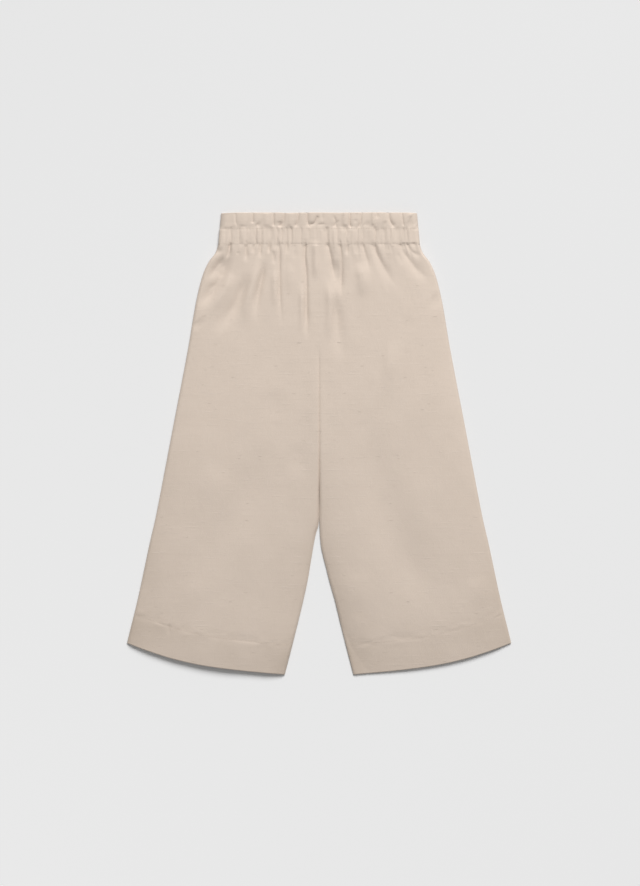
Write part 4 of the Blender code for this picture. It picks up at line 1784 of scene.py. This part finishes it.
@dataclass
class Studio:
    """A pale floor, one large soft light beyond the waist, an even sky, and a camera straight above."""

    key_place: tuple[float, float, float] = (0.58, 2.43, 2.40)
    key_size: float = 2.1
    key_power: float = 137.2
    lamp_rings: int = 6
    lamp_spokes: int = 16
    sky: float = 0.30
    floor_level: float = -0.0002
    floor_half: float = 3.0
    floor_brightness: float = 0.805
    graded_half: float = 1.6
    grades: int = 16
    camera_height: float = 3.0
    camera_x: float = 0.0010
    camera_y: float = 0.0008
    view_tall: float = 1.0189
    sensor: float = 36.0

    def build(self) -> None:
        """Makes the floor, the lights and the camera."""
        scene = bpy.context.scene
        scene.view_settings.view_transform = "Standard"
        self._world(scene)
        self._key(scene)
        self._floor()
        self._camera(scene)

    def _world(self, scene: bpy.types.Scene) -> None:
        """An even pale sky.

        Args:
            scene: The scene.
        """
        world = bpy.data.worlds.new("studio sky")
        world.use_nodes = True
        sky = world.node_tree.nodes["Background"]
        sky.inputs["Color"].default_value = (1.0, 1.0, 1.0, 1.0)
        sky.inputs["Strength"].default_value = self.sky
        scene.world = world

    def _key(self, scene: bpy.types.Scene) -> None:
        """The large soft light.

        Args:
            scene: The scene.
        """
        data = bpy.data.lights.new("key light", "AREA")
        data.energy = self.key_power
        data.shape = "DISK"
        data.size = self.key_size
        light = bpy.data.objects.new("key light", data)
        light.location = self.key_place
        light.rotation_euler = Vector(self.key_place).to_track_quat("Z", "Y").to_euler()
        scene.collection.objects.link(light)

    def lamp_points(self) -> list[Vector]:
        """Points spread evenly over the large light's disc.

        Returns:
            The points.
        """
        aim = Vector(self.key_place).normalized()
        side = aim.orthogonal().normalized()
        up = aim.cross(side)
        points = []
        for ring in range(self.lamp_rings):
            radius = 0.5 * self.key_size * math.sqrt((ring + 0.5) / self.lamp_rings)
            for spoke in range(self.lamp_spokes):
                angle = 2.0 * math.pi * (spoke + 0.5 * (ring % 2)) / self.lamp_spokes
                way = math.cos(angle) * side + math.sin(angle) * up
                points.append(Vector(self.key_place) + radius * way)
        return points

    def light_on_floor(self, x: float, y: float) -> float:
        """How much light reaches a place on the floor, from the whole of the large light and the sky.

        Args:
            x: The place across.
            y: The place along the garment's length.

        Returns:
            The irradiance.
        """
        aim = Vector(self.key_place).normalized()
        points = self.lamp_points()
        key = 0.0
        for point in points:
            ray = point - Vector((x, y, 0.0))
            way = ray.normalized()
            key += self.key_power * (way @ aim) * way.z / (math.pi * ray.length_squared * len(points))
        return key + math.pi * self.sky

    def _grade(self, w: Wiring, place: Socket, light: Callable[[float], float]) -> Socket:
        """Paint that is darker where more light falls, so that the floor looks even.

        Args:
            w: The paint's wiring.
            place: The coordinate that the light changes along.
            light: The light at each value of it.

        Returns:
            The paint's grey, as a colour.
        """
        along = w.add("ShaderNodeMapRange", {"From Min": -self.graded_half, "From Max": self.graded_half})
        w.link(place, along.inputs["Value"])
        ramp = w.add("ShaderNodeValToRGB")
        stops = ramp.color_ramp.elements
        for k in range(self.grades + 1):
            share = k / self.grades
            grey = self.floor_brightness * math.pi / light((2.0 * share - 1.0) * self.graded_half)
            stop = stops[0] if k == 0 else stops[-1] if k == self.grades else stops.new(share)
            stop.position = share
            stop.color = (grey, grey, grey, 1.0)
        w.link(along.outputs["Result"], ramp.inputs["Fac"])
        return ramp.outputs["Color"]

    def _floor(self) -> None:
        """The floor, whose paint is graded so that it looks even under the light."""
        bpy.ops.object.select_all(action="DESELECT")
        bpy.ops.mesh.primitive_plane_add(size=2.0 * self.floor_half, location=(0.0, 0.0, self.floor_level))
        floor = bpy.context.object
        floor.name = "studio_floor"
        bpy.ops.object.transform_apply(location=True, rotation=True, scale=True)
        material, w, shader = new_material("studio floor paint", Roughness=0.95, Specular_IOR_Level=0.0)
        parts = w.parts(w.add("ShaderNodeTexCoord").outputs["Object"])
        level = math.pi * self.floor_brightness / self.light_on_floor(0.0, 0.0)
        along = self._grade(w, parts["Y"], lambda y: self.light_on_floor(0.0, y))
        across = self._grade(w, parts["X"], lambda x: self.light_on_floor(x, 0.0) * level)
        paint = w.mix(1.0, along, across, blend_type="MULTIPLY", clamp_result=True)
        w.link(paint, shader.inputs["Base Color"])
        floor.data.materials.append(material)

    def _camera(self, scene: bpy.types.Scene) -> None:
        """The camera, straight above.

        Args:
            scene: The scene.
        """
        data = bpy.data.cameras.new("camera")
        data.sensor_width = self.sensor
        data.lens = self.sensor * self.camera_height / self.view_tall
        camera = bpy.data.objects.new("camera", data)
        camera.location = (self.camera_x, self.camera_y, self.camera_height)
        scene.collection.objects.link(camera)
        scene.camera = camera


# ------------------------------------------------------------------------------- the culottes


@dataclass
class Culottes:
    """The whole garment."""

    cut: Cut
    linen: Material
    thread: Material
    elastic: Material
    hem_end: float = 0.012
    casing_end: float = 2.0

    def legs(self) -> list[LegPanel]:
        """The four leg panels, the back ones first."""
        return [kind(side, self.cut, self.linen) for kind in (BackLeg, FrontLeg) for side in Side]

    def stitches(self, piece: LegPanel | Waistband, path: Array, seed: int) -> Piece:
        """A row of stitches along a path on a piece's outer face.

        Args:
            piece: The panel or half band.
            path: The path.
            seed: The seed of its unevenness.

        Returns:
            The row of stitches.
        """
        upward = 1.0 if piece.layer == "front" else -1.0
        kind = "_hem_stitches" if isinstance(piece, LegPanel) else "_stitches"
        return StitchRow(piece.name + kind, path, self.thread, upward=upward, seed=seed).build()

    def hem_stitches(self, leg: LegPanel) -> Piece:
        """The stitches that hold a hem up.

        Args:
            leg: The panel.

        Returns:
            The row of stitches.
        """
        across = np.linspace(self.hem_end, 1.0 - self.hem_end, 240)[None, :]
        at = leg.lay(across, np.full_like(across, self.cut.hem_line))
        path = np.stack([at.x, self.cut.y(at.down), leg.faces(at)[0]], axis=2)[0]
        return self.stitches(leg, path, 7 + leg.side.value)

    def casing_stitches(self, band: Waistband) -> Piece:
        """The stitches that close the casing under the frill.

        Args:
            band: The half band.

        Returns:
            The row of stitches.
        """
        half = float(band.half_width(np.array(band.casing))) - self.casing_end
        x = np.linspace(-half, half, 500)[None, :]
        up = np.full_like(x, band.casing)
        outer, _ = band.faces(x, up, half + self.casing_end - np.abs(x))
        return self.stitches(band, np.stack([x, self.cut.y(-up), outer], axis=2)[0], 17)

    def build(self) -> None:
        """Makes every piece."""
        floor = "studio_floor"
        for leg in self.legs():
            under = floor if leg.layer == "back" else leg.name.replace("front", "back") + "_cloth"
            leg.build([under], [self.hem_stitches(leg)])
        for band in (BackWaistband(self.cut, self.linen), Waistband(self.cut, self.linen)):
            under = floor if band.layer == "back" else "waistband_back_cloth"
            band.build([under], [self.casing_stitches(band)])
        for layer in ("front", "back"):
            strip = bpy.data.objects[f"elastic_{layer}"]
            for slot in strip.material_slots:
                slot.material = self.elastic
            LOG.info("%s: braided finish", strip.name)


def main() -> None:
    """Loads the frame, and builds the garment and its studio."""
    logging.basicConfig(level=logging.INFO, format="%(name)s: %(message)s")
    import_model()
    cut = Cut(seam_y=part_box("front_leg_left")[1][1] / MM + SEAM_GAP)
    Studio().build()
    linen = LinenFinish().build(weave_group(), slub_group())
    Culottes(cut, linen, ThreadFinish().build(), ElasticFinish().build()).build()


if __name__ == "__main__":
    main()
